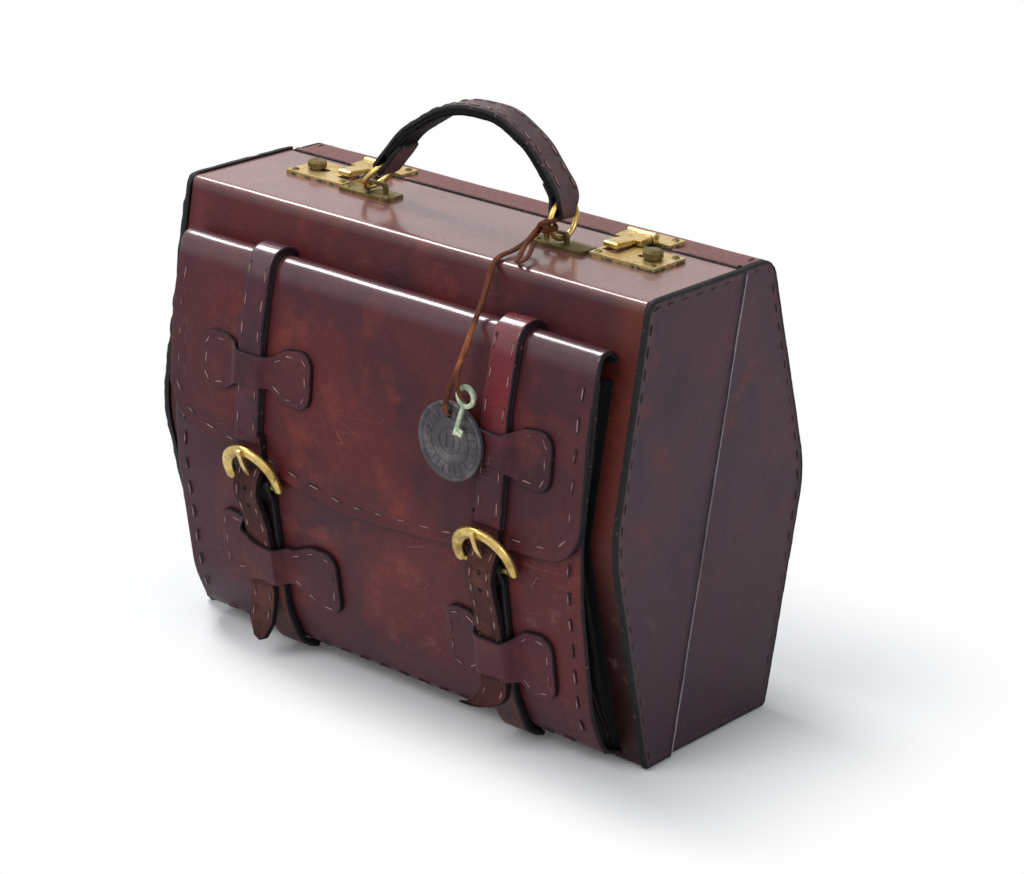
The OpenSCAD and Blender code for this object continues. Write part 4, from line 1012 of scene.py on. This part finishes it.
def make_gussets():
    """Folded side leaves: at each height a V of black leather between the pocket and the shell, its fold pulled
    inwards, with four shallow pleats, a squared sine over its width, and pale lines along two of them that are painted
    highlights on their folds."""
    z = np.linspace(293, 12, 90)
    t = np.linspace(0, 1, 61)
    zz, tt = np.meshgrid(z, t, indexing="ij")
    front, rear = pocket_y(zz) + 4.4, front_y(zz) - 0.5
    deep = GUSSET_DEPTH * np.clip((zz - 8) / 60, 0.25, 1) * (1 + 0.08 * wander(zz, zz * 0, 34.0))
    fold = np.abs(2 * tt - 1)
    leaves = np.sin(4 * np.pi * tt) ** 2 * np.clip((300 - zz) / 120, 0, 1)
    inward = deep * (1 - fold ** 1.25) + PLEAT_DEPTH * leaves
    y = rear + (front - rear) * tt + 0.8 * wander(zz, tt * 30, 26.0) * np.sin(np.pi * tt)
    for side, word in SIDES.items():
        layers = []
        for depth in (0.0, GUSSET_T):
            x = side * (POCKET_HALF - 0.3 - inward - depth * (0.35 + 0.65 * (1 - fold)))
            layers.append(np.stack([x, y + depth * 0.5 * np.sign(0.5 - tt) * fold, zz], -1).reshape(-1, 3))
        rim = np.tile(np.exp(-(1 - fold) * 9).ravel(), 2)
        leaf = outward_faces(new_piece(f"gusset_leaf_{word}", np.concatenate(layers), shell_faces(*zz.shape),
                                       {"rim": rim}))
        # the leaves are black leather, darkened further as painted shade inside the pocket's side
        dress(leaf, black, "case_front", "black_leather", [f"gusset_{word}"])
        for column, thin in GUSSET_HIGHLIGHTS:
            rows = slice(12, -3)
            line = np.stack([side * (POCKET_HALF + 0.3 - inward[rows, column]), y[rows, column], z[rows]], -1)
            # a thin tube of the lighter end panel leather on the black leaf: a painted highlight along the fold
            crease = tube(f"gusset_highlight_{word}_{column}", line, thin, sides=6,
                          marks={"rim": np.zeros((len(line), 6))})
            dress(crease, shaded_end_leather, "case_front", "black_leather")


make_gussets()
BAR_Y = pocket_y(BAR_Z) - CHAPE_T - 0.4


def soft_step(v, low, high):
    """0 below low, 1 above high and a cubic ease between them."""
    t = np.clip((v - low) / (high - low), 0, 1)
    return t * t * (3 - 2 * t)


def bridge(low, high, rise, run_out=7.0):
    """Lift of a keeper: level over the strap between low and high, easing down beside it."""
    return lambda a, b: 0.15 + rise * soft_step(a, low - run_out, low) * (1 - soft_step(a, high, high + run_out))


def bow(x, z, wide, tall, waist, slope):
    """A keeper's outline: two lobes of height tall and a narrower waist, as in the solid model."""
    half = wide / 2
    low = [(-half, -tall / 2), (-half + 26, 2 - tall / 2), (-14, -waist / 2), (14, -waist / 2),
           (half - 26, 2 - tall / 2), (half, -tall / 2)]
    corners = low + [(-a, -b) for a, b in low]
    return rounded([(x + a, z + b - slope * a) for a, b in corners], [12, 14, 20, 20, 14, 12] * 2, closed=True)


def inside_outline(outline, by):
    """An outline moved inwards, square to the chord between each point's neighbours, for a row of stitches."""
    along = units(np.roll(outline, -2, axis=0) - np.roll(outline, 2, axis=0))
    inner = outline + np.stack([-along[:, 1], along[:, 0]], -1) * by
    return np.concatenate([inner, inner[:1]])


def make_keeper(word, level, path, to_s, outline, low, high, rise, body):
    """A bow-tie patch over a strap, stitched round both lobes, whose points are put in order by their angle about
    the lobe's middle, starting on the side of the strap."""
    lift = bridge(low, high, rise)

    def place(a, b, h):
        """The side profile carried along X, b being a height."""
        return on_sides(path, a, to_s(b), h)
    patch = leather(f"{level}_keeper_patch_{word}", outline, place, KEEPER_T, step=2.4, round_r=1.4, lift=lift,
                    swell=gentle(0.35, seed_shift=low), burn=0.9)
    dress(patch, keeper_leather, body, "oxblood_leather", [f"{level}_keeper_{word}"])
    rows = Rows()
    inner = inside_outline(outline, 5.2)
    for lobe, side in ((inner[inner[:, 0] < low - 6], -1), (inner[inner[:, 0] > high + 6], 1)):
        a, b = lobe.T
        a, b = lobe[np.argsort(np.arctan2(b - b.mean(), side * (a - a.mean())))].T
        rows.add(place(a, b, lift(a, b) + KEEPER_T - 0.15), path_normals(path), pitch=15.5, length=9)
    rows.make(f"{level}_keeper_stitches_{word}", body, "oxblood_leather")


# keepers' outlines: middle x and z, width, height, waist and slope; and how far they stand over what they hold
LOWER_BOW = {-1: bow(-95, 83, 119, 54, 30, 0.09), 1: bow(121.5, 76, 100, 54, 30, 0)}
UPPER_BOW = {-1: bow(-109, 233.5, 111, 46, 24, -0.04), 1: bow(118, 233.5, 111, 46, 24, 0)}
LOWER_RISE, UPPER_RISE = 10.9, 6.15
EYE_R, CHAPE_FRONT_T = 5.2, 2.6


def make_chapes_and_lower_keepers():
    """Chapes: a strap doubled round the buckle's bar, as two layers, the outer one an arc about the bar and then a
    line beside the pocket's profile; and the keepers that hold the billets' tips."""
    for side, word in SIDES.items():
        x = CHAPE_X[side]
        turn = np.radians(np.linspace(10, 178, 22))
        eye = np.stack([BAR_Y + EYE_R * np.cos(turn), BAR_Z + EYE_R * np.sin(turn)], -1)
        down = pocket_path.off(pocket_s(np.linspace(134, 6, 40)), EYE_R)
        outer = Path(np.concatenate([eye, down]), 1.0)
        strip = leather(f"chape_front_{word}", rectangle(x - STRAP_HALF, x + STRAP_HALF, 0, outer.length),
                        lambda a, b, h: on_sides(outer, a, b, h - CHAPE_FRONT_T), CHAPE_FRONT_T, step=2.2,
                        swell=gentle(0.25, seed_shift=x))
        under = leather(f"chape_back_{word}", rectangle(x - 12.2, x + 12.9, pocket_s(142), pocket_s(6)),
                        lambda a, b, h: on_sides(pocket_path, a, b, h + 0.1), 2.4, step=3)
        dress(strip, chape_leather, "case_front", "oxblood_leather", [f"chape_{word}"])
        # the back layer is dressed in black: painted shade where it shows beside the chape
        dress(under, black, "case_front", "black_leather")
        low = min(BILLET_X[side], CHAPE_X[side]) - STRAP_HALF
        high = max(BILLET_X[side], CHAPE_X[side]) + STRAP_HALF
        make_keeper(word, "lower", pocket_path, pocket_s, LOWER_BOW[side], low, high, LOWER_RISE, "case_front")


make_chapes_and_lower_keepers()


# the flap, its straps and the billets
ROOT_HALF = 184


def make_flap():
    """One hide from its stitched root over the fold to the hem, in (x, length along the profile)."""
    turn = flap_path.reach(306, late=False)
    hem = np.stack([HEM[:, 0], flap_s(HEM[:, 1])], -1)
    outline = np.concatenate([[(-FLAP_HALF, turn), (-ROOT_HALF, turn), (-ROOT_HALF, 0), (ROOT_HALF, 0),
                               (ROOT_HALF, turn), (FLAP_HALF, turn)], hem[::-1]])

    def slack(a, b, rim):
        """Ripples that run down from the fold, strongest near the straps, on uneven leather."""
        down = np.clip((b - FOLD_TOP) / 60, 0, 1)
        pull = sum(np.exp(-((a - x) / 30) ** 2) for x in STRAP_X.values())
        ripples = 0.5 * down * pull * wander(a, b * 0.3, 16) * np.clip(rim / 9, 0, 1)
        return gentle(0.6, seed_shift=3)(a, b, rim) + ripples

    piece = leather("flap_hide", outline, lambda a, b, h: on_sides(flap_path, a, b, h - FLAP_T), FLAP_T,
                    step=(2.6, 2.2), round_r=1.6, swell=slack, cuts=(-ROOT_HALF, ROOT_HALF))
    dress(piece, flap_leather, slot="oxblood_leather", stands_for=["flap_root", "flap_fold", "flap", "flap_hem"])
    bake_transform(piece)


make_flap()


STRAP_LAYERS = (STRAP_HALF, 0.1, 3.0), (12.1, 3.0, 3.1)       # half width, height of the underside, thickness
STRAP_TOP = 6.0


def make_straps():
    """Straps of two layers over the fold, each with two rows of stitches, and the keeper that binds them."""
    start = flap_path.reach(311, late=False)
    for side, word in SIDES.items():
        x, end = STRAP_X[side], flap_s(177)
        parts = []
        for k, (half, low, tall) in enumerate(STRAP_LAYERS):
            parts.append(leather(f"strap_layer_{k}_{word}", rectangle(x - half, x + half, start, end),
                                 lambda a, b, h: on_sides(flap_path, a, b, h + low), tall, step=(3, 2.4),
                                 round_r=1.5, swell=gentle(0.3, seed_shift=x + k)))
        strap = merged(f"strap_layers_{word}", parts)
        dress(strap, strap_leather[side], slot="oxblood_leather", stands_for=[f"strap_fold_{word}", f"strap_{word}"])
        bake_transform(strap)
        rows = Rows()
        top = flap_path.reach(312)
        for off in (-8.2, 8.2):
            s = np.linspace(top, end - 4, 120)
            rows.add(path_line(flap_path, x + off, s, STRAP_TOP), path_normals(flap_path), pitch=23, length=10.5,
                     first=0.35 if off < 0 else 0.5)
        sewn = rows.make(f"strap_stitches_{word}", None, "oxblood_leather")
        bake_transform(sewn)
        make_keeper(word, "upper", flap_path, flap_s, UPPER_BOW[side], x - STRAP_HALF, x + STRAP_HALF, UPPER_RISE,
                    "flap")


make_straps()
BILLET_FACE_Y = flap_path.at(flap_s(184))[0] - 0.15
OVER_Y = BAR_Y - CHAPE_T - 0.5
billet_line = Path(rounded([(BILLET_FACE_Y, 186), (BILLET_FACE_Y, BAR_Z + 15), (OVER_Y, BAR_Z + 4),
                            (OVER_Y - 1.5, BAR_Z - 5), (pocket_y(112) - CHAPE_T - 3.0, 116),
                            (pocket_y(80) - CHAPE_T - 0.7, 84), (pocket_y(50) - CHAPE_T - 1.2, 50),
                            (pocket_y(50) - CHAPE_T - 5.5, 14)], [0, 12, 12, 16, 50, 60, 60, 0], step=3), 1.5)
TIP_CURL, CURLED = math.radians(95), 26       # how far the right tip rolls up, and over what length
HOLES_AT = np.array([44.0, 58.0])
HOLE_RINGS = (2.1, -0.3), (1.8, 0.15), (0.3, -0.05)       # radius and height


def make_billets():
    """Billets: worn suede strips through the buckles and under the lower keepers. Their middle line drifts sideways,
    and the right one's tip rolls up and to the left, by turning its last stretch about a level line."""
    for side, word in SIDES.items():
        x = BILLET_X[side]
        reach = billet_line.length if side < 0 else billet_line.length - 8
        tip = [(-STRAP_HALF, 17), (-6, 3), (0, 0), (6, 3), (STRAP_HALF, 17)]
        outline = [(x - STRAP_HALF, 0), *((x + a, reach - b) for a, b in tip), (x + STRAP_HALF, 0)]

        def place(a, b, h):
            """The billets' line carried along X, then shifted, and rolled as an arc of a growing angle at the tip."""
            p = on_sides(billet_line, a, b, h)
            sway = 2.0 * soft_step(b, 40, 75) * (1 - soft_step(b, 90, 130)) * -side
            p[..., 0] += sway + 0.6 * wander(b, b * 0, 22.0)
            if side > 0:
                curl = np.clip((b - (reach - CURLED)) / CURLED, 0, 1)
                angle = TIP_CURL * curl ** 1.3
                away = np.maximum(b - (reach - CURLED), 0)
                bent = np.where(curl > 0, np.sin(angle) / np.maximum(angle, 1e-3), 1) * away
                rise = np.where(curl > 0, (1 - np.cos(angle)) / np.maximum(angle, 1e-3), 0) * away
                p[..., 2] += (away - bent) + 0.25 * away * curl
                p[..., 1] -= rise
                p[..., 0] -= 0.65 * away * curl
            else:
                p[..., 0] -= 0.05 * np.maximum(b - (reach - 40), 0)
            return p

        def body(a, b, rim):
            """Thicker where it leaves the strap, uneven all over, dished along its middle."""
            dish = 0.35 * np.exp(-((a - x) / 4) ** 2)
            return 2.0 * (1 - soft_step(b, 0, 16)) + gentle(0.5, near=3, seed_shift=x, scale=24)(a, b, rim) - dish
        strip = leather(f"billet_strip_{word}", outline, place, BILLET_T, step=1.8, round_r=1.5, swell=body, sink=0.4)
        dress(strip, suede, "flap", "raw_leather", [f"billet_{word}"])
        rows = Rows()
        for off in (-7.8, 7.8):
            s = np.linspace(26, reach - 14, 90)
            line = place(np.full_like(s, x + off), s, np.full_like(s, BILLET_T))
            rows.add(line, path_normals(billet_line), pitch=14.5, length=8, first=0.4, width=0.7)
        rows.make(f"billet_stitches_{word}", "flap", "raw_leather")
        # black discs on the billet: painted shade in place of the punched holes
        holes = place(np.full_like(HOLES_AT, x), HOLES_AT, np.full_like(HOLES_AT, BILLET_T - 0.25))
        angle, u = circle(16)[:, None], np.array([1.0, 0, 0])
        n, m = len(HOLE_RINGS), len(angle)
        rings = []
        for centre, normal in zip(holes, path_normals(billet_line)(holes)):
            v = np.cross(normal, u)
            spot = [centre + r * (np.cos(angle) * u + np.sin(angle) * v) + normal * up for r, up in HOLE_RINGS]
            faces = grid_faces(n, m, wrap_m=True) + caps(n, m)[::-1]
            rings.append(new_piece("punched_hole", np.array(spot), faces, {"rim": np.ones(n * m)}))
        dress(merged(f"billet_holes_{word}", rings), black, "flap", "raw_leather")


make_billets()


# buckles: a rounded section carried along a horseshoe, in the plane that leans out from the bar
BUCKLE_R, BAND, BAND_T, FRAME_RISE, LEAN = 28.5, 9.5, 6.2, 5.5, math.radians(24)


def at_bar(side, local):
    """Points given as [x, outward, up] in the leaning buckle, moved to its bar."""
    x, out, up = np.moveaxis(np.asarray(local, float), -1, 0)
    return np.stack([x + BUCKLE_X[side], BAR_Y - out * math.cos(LEAN) - up * math.sin(LEAN),
                     BAR_Z + up * math.cos(LEAN) - out * math.sin(LEAN)], -1)


def make_buckles():
    """Frames: a squared-off round section with a step on its inner side, carried along two legs and an arch and
    narrowing to rounded feet; the bar is a straight pin between the feet."""
    middle = BUCKLE_R - BAND / 2
    arc = np.radians(np.linspace(180, 0, 61))
    line = np.concatenate([[(-middle, -2.3), (-middle, -1.6), (-middle, 0.2)],
                           np.stack([middle * np.cos(arc), FRAME_RISE + middle * np.sin(arc)], -1),
                           [(middle, 0.2), (middle, -1.6), (middle, -2.3)]])
    out = np.concatenate([[(-1, 0)] * 3, np.stack([np.cos(arc), np.sin(arc)], -1), [(1, 0)] * 3])
    size = np.ones(len(line))
    size[[0, 1, -2, -1]] = [0.35, 0.85, 0.85, 0.35]
    n, m = len(line), 28
    c, s = np.cos(circle(m)), np.sin(circle(m))
    wide, thick = squared(c, 0.75, BAND) / 2, squared(s, 0.75, BAND_T) / 2
    thick = np.where((wide < -2.0) & (s > 0), thick * 0.72, thick)
    faces = grid_faces(n, m, wrap_m=True) + caps(n, m)
    for side, word in SIDES.items():
        local = np.stack([line[:, 0, None] + out[:, 0, None] * wide * size[:, None],
                          np.broadcast_to(thick, (n, m)) * size[:, None],
                          line[:, 1, None] + out[:, 1, None] * wide * size[:, None]], -1)
        frame_piece = outward_faces(new_piece(f"buckle_frame_{word}", at_bar(side, local), faces))
        pin = tube(f"buckle_bar_{word}", at_bar(side, [(-24, 0, 0), (0, 0, 0), (24, 0, 0)]), 2.0, sides=16)
        both = merged(f"buckle_brass_{word}", [frame_piece, pin])
        dress(both, gold, f"buckle_{word}", "brass", [f"buckle_{word}"])
        dress(softened(f"prong_{word}", 0.8, 3), gold, f"prong_{word}", "old_brass")


make_buckles()


# hardware on the top
def make_top_hardware():
    """Plates, hasps, knobs, bails and screws: the solids with their edges eased, in old brass."""
    for word in SIDES.values():
        for node, body, width, material, slot in (
                (f"lock_plate_{word}", "case_front", 0.5, plate_brass, "brass"),
                (f"hasp_plate_{word}", "case_back", 0.5, plate_brass, "brass"),
                (f"handle_base_{word}", "case_front", 0.7, old_brass, "brass"),
                (f"hasp_{word}", f"hasp_{word}", 0.8, gold, "brass"),
                (f"slider_{word}", f"slider_{word}", 0.5, old_brass, "old_brass")):
            dress(softened(node, width, 2), material, body, slot)
    for node, body in (("hasp_pins", "case_back"), ("rear_screws", "case_back"), ("lock_screws", "case_front"),
                       ("base_screws", "case_front")):
        dress(softened(node, 0.25, 2), old_brass, body, "old_brass")


make_top_hardware()


# the handle
left_lean = math.radians(40)
LEFT_UP = np.array([math.sin(left_lean), math.cos(left_lean)])
LEFT_OUT = np.array([-LEFT_UP[1], LEFT_UP[0]])
HANDLE_T, FILL, STAND = 3.0, 5.0, 5.5
HANDLE_TOP, HANDLE_HALF, RETURN = 439, 11.25, 30       # RETURN is the strap's length beyond each fold
FILLER_LAYERS = (10.9, 3.05), (11.35, 4.75), (10.8, 6.45)       # half width and depth under the strap's face
FILLER_T = 1.7
LEFT_FOLD = np.array([RING_X[-1], EYE_Z]) + LEFT_UP * (RING_R + 9.3)
RIGHT_FOLD = np.array([RING_X[1], EYE_Z + RING_R + 5])
RIGHT_END = RIGHT_FOLD + [STAND, 0]
ARCH_H = HANDLE_TOP - RIGHT_END[1]
LEFT_START = LEFT_FOLD + LEFT_OUT * STAND
arch = Path(rounded([LEFT_START, LEFT_START + LEFT_UP * 41, (-20, 430), (4, HANDLE_TOP), (42, HANDLE_TOP),
                     (73, RIGHT_END[1] + 0.735 * ARCH_H), (RIGHT_END[0], RIGHT_END[1] + 0.25 * ARCH_H), RIGHT_END],
                    [0, 60, 70, 80, 50, 60, 20, 0], step=3), 1.5)


def in_arch_plane(path, y, s, depth):
    """A point depth millimetres inside a path of the handle, as [x, y, z]."""
    p = path.off(s, depth)
    return np.stack([p[..., 0], np.broadcast_to(y, p.shape[:-1]), p[..., 1]], -1)


def half_turn(centre, start):
    """Points of the strap's half circle round a ring, from the direction start."""
    angle = np.radians(np.arange(8, 176, 8))
    return [centre + STAND * np.array([start[0] * math.cos(a) + start[1] * math.sin(a),
                                       -start[0] * math.sin(a) + start[1] * math.cos(a)]) for a in angle]


def strip_outline(s, half):
    """The closed outline of a strip from its half widths at the lengths s."""
    return np.concatenate([np.stack([s, -half], -1), np.stack([s, half], -1)[::-1]])


def make_handle():
    """Grip: an outer strap that turns round both rings, a filler in three layers, two rows of stitches on top."""
    inside = 2 * HANDLE_T + FILL
    left_return = arch.off(np.linspace(RETURN, 0, 14), inside)
    right_return = arch.off(np.linspace(arch.length, arch.length - RETURN, 14), inside)
    face = Path(np.concatenate([left_return, half_turn(LEFT_FOLD, -LEFT_OUT),
                                arch.at(np.linspace(0, arch.length, 160)), half_turn(RIGHT_FOLD, np.array([1.0, 0])),
                                right_return]), 1.2)
    turn = math.pi * STAND
    folds = RETURN + turn / 2, face.length - RETURN - turn / 2

    def edge_shape(s):
        """The strap's half width: rounded in at both folds, ragged and tapered at the returned ends."""
        dip = sum(np.exp(-((s - f) / 6.5) ** 2) for f in folds)
        end = np.minimum(s, face.length - s)
        return HANDLE_HALF - 3.2 * dip - 1.2 * np.exp(-end / 4) + 0.25 * wander(s, s * 0, 7.0)
    s = np.linspace(0, face.length, 220)

    def place(a, b, h):
        """The strap's line carried along Y, b to each side of the rings."""
        return in_arch_plane(face, RING_Y + b, a, HANDLE_T - h)
    strap = leather("grip_strap", strip_outline(s, edge_shape(s)), place, HANDLE_T, step=(1.6, 2.4), round_r=1.5,
                    swell=gentle(0.35, near=3, seed_shift=77, scale=26))
    dress(strap, handle_leather, "handle", "dusk_leather", ["handle_strap"])
    layers = []
    core = Path(arch.at(np.linspace(15, arch.length - 15, 160)), 1.2)
    for k, (width, low) in enumerate(FILLER_LAYERS):
        t = np.linspace(0, core.length, 160)
        ragged = width + 0.35 * wander(t, t * 0 + k * 9, 5.0)
        layers.append(leather(f"grip_layer_{k}", strip_outline(t, ragged),
                              lambda a, b, h: in_arch_plane(core, RING_Y + b, a, low + FILLER_T - h),
                              FILLER_T, step=(2.2, 3), round_r=0.7, sink=0.7))
    dress(merged("grip_filler", layers), black, "handle", "black_leather", ["handle_core"])
    rows = Rows()
    run_s = np.linspace(RETURN + turn + 8, face.length - RETURN - turn - 8, 200)
    spots, outs = face.at(run_s), -face.outward(run_s)

    def normals(centres):
        """The strap's normals at the places on its face that are nearest."""
        nearest = np.argmin(np.linalg.norm(centres[:, None, ::2] - spots[None], axis=2), axis=1)
        return np.stack([outs[nearest, 0], np.zeros(len(centres)), outs[nearest, 1]], -1)
    for off in (-7.2, 7.2):
        line = place(run_s, np.full_like(run_s, off), np.full_like(run_s, HANDLE_T))
        rows.add(line, normals, pitch=13.5, length=8, first=0.3 if off < 0 else 0.6)
    rows.make("grip_stitches", "handle", "dusk_leather")
    angle = circle(72)
    for side, word in SIDES.items():
        lean = left_lean if side < 0 else 0.0
        up = RING_R + RING_R * np.cos(angle)
        ring = np.stack([RING_X[side] + up * math.sin(lean), RING_Y + RING_R * np.sin(angle),
                         EYE_Z + up * math.cos(lean)], -1)
        dress(tube(f"grip_ring_{word}", ring, WIRE_R, sides=16, closed=True), gold, "handle", "old_brass",
              [f"ring_{word}"])


make_handle()


# the tag and the key
TAG_X, TAG_Y, TAG_Z = 91.5, -143.25, 233.5
TAG_RINGS = (25.2, 0.35), (17.2, 0.45), (9.5, 0.4)       # radius and half thickness
STROKE_RADII = 19.0, 21.1, 23.2
STROKE_T, HOLE_CLEAR = 0.5, 0.25       # no stroke within this angle of the tag's hole


def make_tag_and_key():
    """The tag's disc with a raised rim, two fine rings, a generic ring of short strokes and two bars, all tubes half
    sunk in its face; the key as it is."""
    disc = softened("tag", 0.45, 2)

    def on_tag(x, z):
        """Points of the tag's face, measured from its middle."""
        return np.stack([TAG_X + x, np.full_like(x, TAG_Y), TAG_Z + z], -1)
    parts = [disc]
    for r, thin in TAG_RINGS:
        turn = circle(72)
        parts.append(tube("tag_ring", on_tag(r * np.cos(turn), r * np.sin(turn)), thin, sides=8, closed=True))
    reach = np.array(STROKE_RADII)
    for a in circle(24):
        if abs(a - math.pi / 2) >= HOLE_CLEAR:
            parts.append(tube("tag_stroke", on_tag(reach * math.cos(a), reach * math.sin(a)), STROKE_T, sides=6))
    for side in (-1, 1):
        parts.append(tube("tag_bar", on_tag(np.full(3, side * 3.2), np.array([-5.0, 0, 5])), STROKE_T, sides=6))
    bpy.context.view_layer.objects.active = disc
    bpy.ops.object.select_all(action="DESELECT")
    disc.select_set(True)
    bpy.ops.object.modifier_apply(modifier="ease")
    dress(merged("tag_disc", parts), tag_metal, "tag", "dark_metal")
    dress(softened("key", 0.5, 3), key_metal, "key", "brass")


make_tag_and_key()


# stitches of the case
EDGE_SEAM = dict(pitch=15.5, length=7, width=0.55)


def make_case_stitches():
    """Running stitches along the pocket, the flap, the end panels and the shells' edges."""
    rows = Rows()
    for side in (-1, 1):
        s = np.linspace(pocket_s(170 if side > 0 else 190), pocket_s(26), 200)
        rows.add(path_line(pocket_path, side * (POCKET_HALF - 11), s, 0), path_normals(pocket_path), pitch=22)
    x = np.linspace(20 - POCKET_HALF, POCKET_HALF - 20, 300)
    rows.add(path_line(pocket_path, x, np.full_like(x, pocket_s(16)), 0), path_normals(pocket_path), pitch=20)
    rows.make("pocket_stitches", "case_front", "oxblood_leather")

    rows = Rows()
    sides_top = 298
    loop = np.concatenate([[(-FLAP_HALF, sides_top)], HEM, [(FLAP_HALF, sides_top)]])
    along = units(np.gradient(loop, axis=0))
    inner = loop + np.stack([-along[:, 1], along[:, 0]], -1) * 10
    fine = lengths_along(inner)
    t = np.linspace(0, fine[-1], 900)
    xx, zz = np.interp(t, fine, inner[:, 0]), np.interp(t, fine, inner[:, 1])
    rows.add(path_line(flap_path, xx, flap_s(zz), 0), path_normals(flap_path), pitch=21.5)
    rows.make("flap_stitches", "flap", "oxblood_leather")

    rear_path = Path(rear_outline(seam_y(0), seam_y(CASE_H)), 1.5)
    for shell, profile, first, last, inset in (("front", front_end_path, 14, 6, 5.2), ("rear", rear_path, 30, 12, 5.5)):
        rows = Rows()
        for side in (-1, 1):
            edge = profile.off(np.linspace(first, profile.length - last, 300), -inset)
            line = np.stack([np.full(len(edge), side * (SIDE_END[shell] + SKIN)), edge[:, 0], edge[:, 1]], -1)
            rows.add(line, np.array([side, 0.0, 0.0]), **EDGE_SEAM)
            if shell == "rear":
                s = np.linspace(30, rear_skin_path.length - 16, 300)
                rows.add(path_line(rear_skin_path, side * (REAR_HALF - 6), s, 0), path_normals(rear_skin_path),
                         **EDGE_SEAM)
        rows.make(f"{shell}_edge_stitches", SHELL_BODY[shell], "dusk_leather", dark_thread)


make_case_stitches()


# floor, light and background, in metres
FLOOR_Z, FLOOR_HALF = -0.0012, 6.0
FOOT_HALF, FOOT_FRONT, FOOT_REAR = 0.22, -0.095, 0.14
CLEARING = -0.03, 0.18       # distances from the footprint between which the paper turns clear
SOONER = 1.8       # the paper in front clears over a length that is shorter by this
LIGHT, SEEN = ((0.88, 0.94, 1.0, 1), 0.36), ((1, 1, 1, 1), 1.0)       # the world as a light and as it is seen
AIM = Vector((0, 0, 0.18))
LAMPS = (("key", (-0.5, -2.1, 2.2), 1.8, 30, (1.0, 0.99, 0.97)),
         ("top", (-1.65, 0.25, 2.35), 1.0, 46, (1.0, 0.99, 0.98)),
         ("side", (2.4, -0.6, 1.3), 1.4, 10, (0.90, 0.94, 1.0)))


def paper():
    """White paper: plain under and round the object, where the shadow falls, and clear further away and from below,
    so that the white world shows there, and so does the half of the case that an open lid puts below the floor.
    The share of clear rises smoothly with the distance from the object's footprint, and sooner in front."""
    p = Paint("paper_white")
    p.finish(Base_Color=(0.95, 0.96, 0.98, 1), Roughness=0.9, Specular_IOR_Level=0.0)
    across, along = p.axis(X_AXIS), p.axis(Y_AXIS)
    beside = (across.at_least(across * -1.0) - FOOT_HALF).at_least(0.0)
    behind, ahead = (along - FOOT_REAR).at_least(0.0), (FOOT_FRONT - along).at_least(0.0) * SOONER
    away = (beside ** 2 + behind ** 2 + ahead ** 2) ** 0.5
    from_below = p.node("ShaderNodeNewGeometry", {}, {})["Backfacing"]
    share = (away.step(*CLEARING) * p.seen()).at_least(from_below)
    clear = p.node("ShaderNodeBsdfTransparent", {}, {"Color": (1, 1, 1, 1)})[0]
    both = p.node("ShaderNodeMixShader", {}, {0: share, 2: clear})[0]
    p.tree.links.new(p.shader.outputs[0], both.socket.node.inputs[1])
    p.tree.links.new(both.socket, p.tree.nodes["Material Output"].inputs["Surface"])
    return p.material


def make_stage():
    """A white floor that keeps the object's shadow, a world that is white where it is seen or mirrored, and soft
    lamps: one in front, one high on the left that lights the folds, and a weak one on the right."""
    mesh = bpy.data.meshes.new("floor")
    corners = rectangle(-FLOOR_HALF, FLOOR_HALF, -FLOOR_HALF, FLOOR_HALF)
    mesh.from_pydata([(x, y, FLOOR_Z) for x, y in corners], [], [(0, 1, 2, 3)])
    mesh.materials.append(paper())
    added("floor", mesh)
    world = bpy.data.worlds.new("studio")
    bpy.context.scene.world = world
    world.use_nodes = True
    tree = world.node_tree
    tree.nodes.clear()
    output, mix, rays = (tree.nodes.new(f"ShaderNode{kind}") for kind in ("OutputWorld", "MixShader", "LightPath"))
    last = rays.outputs["Is Camera Ray"]
    for ray in ("Is Glossy Ray", "Is Transmission Ray"):
        either = tree.nodes.new("ShaderNodeMath")
        either.operation = "MAXIMUM"
        tree.links.new(last, either.inputs[0])
        tree.links.new(rays.outputs[ray], either.inputs[1])
        last = either.outputs[0]
    tree.links.new(last, mix.inputs[0])
    for place, (colour, strength) in ((1, LIGHT), (2, SEEN)):
        background = tree.nodes.new("ShaderNodeBackground")
        background.inputs["Color"].default_value, background.inputs["Strength"].default_value = colour, strength
        tree.links.new(background.outputs[0], mix.inputs[place])
    tree.links.new(mix.outputs[0], output.inputs["Surface"])
    for name, place, size, power, colour in LAMPS:
        data = bpy.data.lights.new(name, "AREA")
        data.shape, data.size, data.energy, data.color = "DISK", size, power, colour
        turn = (AIM - Vector(place)).to_track_quat("-Z", "Y").to_matrix().to_4x4()
        added(name, data).matrix_world = Matrix.Translation(place) @ turn
    bpy.context.scene.view_settings.view_transform = "Standard"


make_stage()
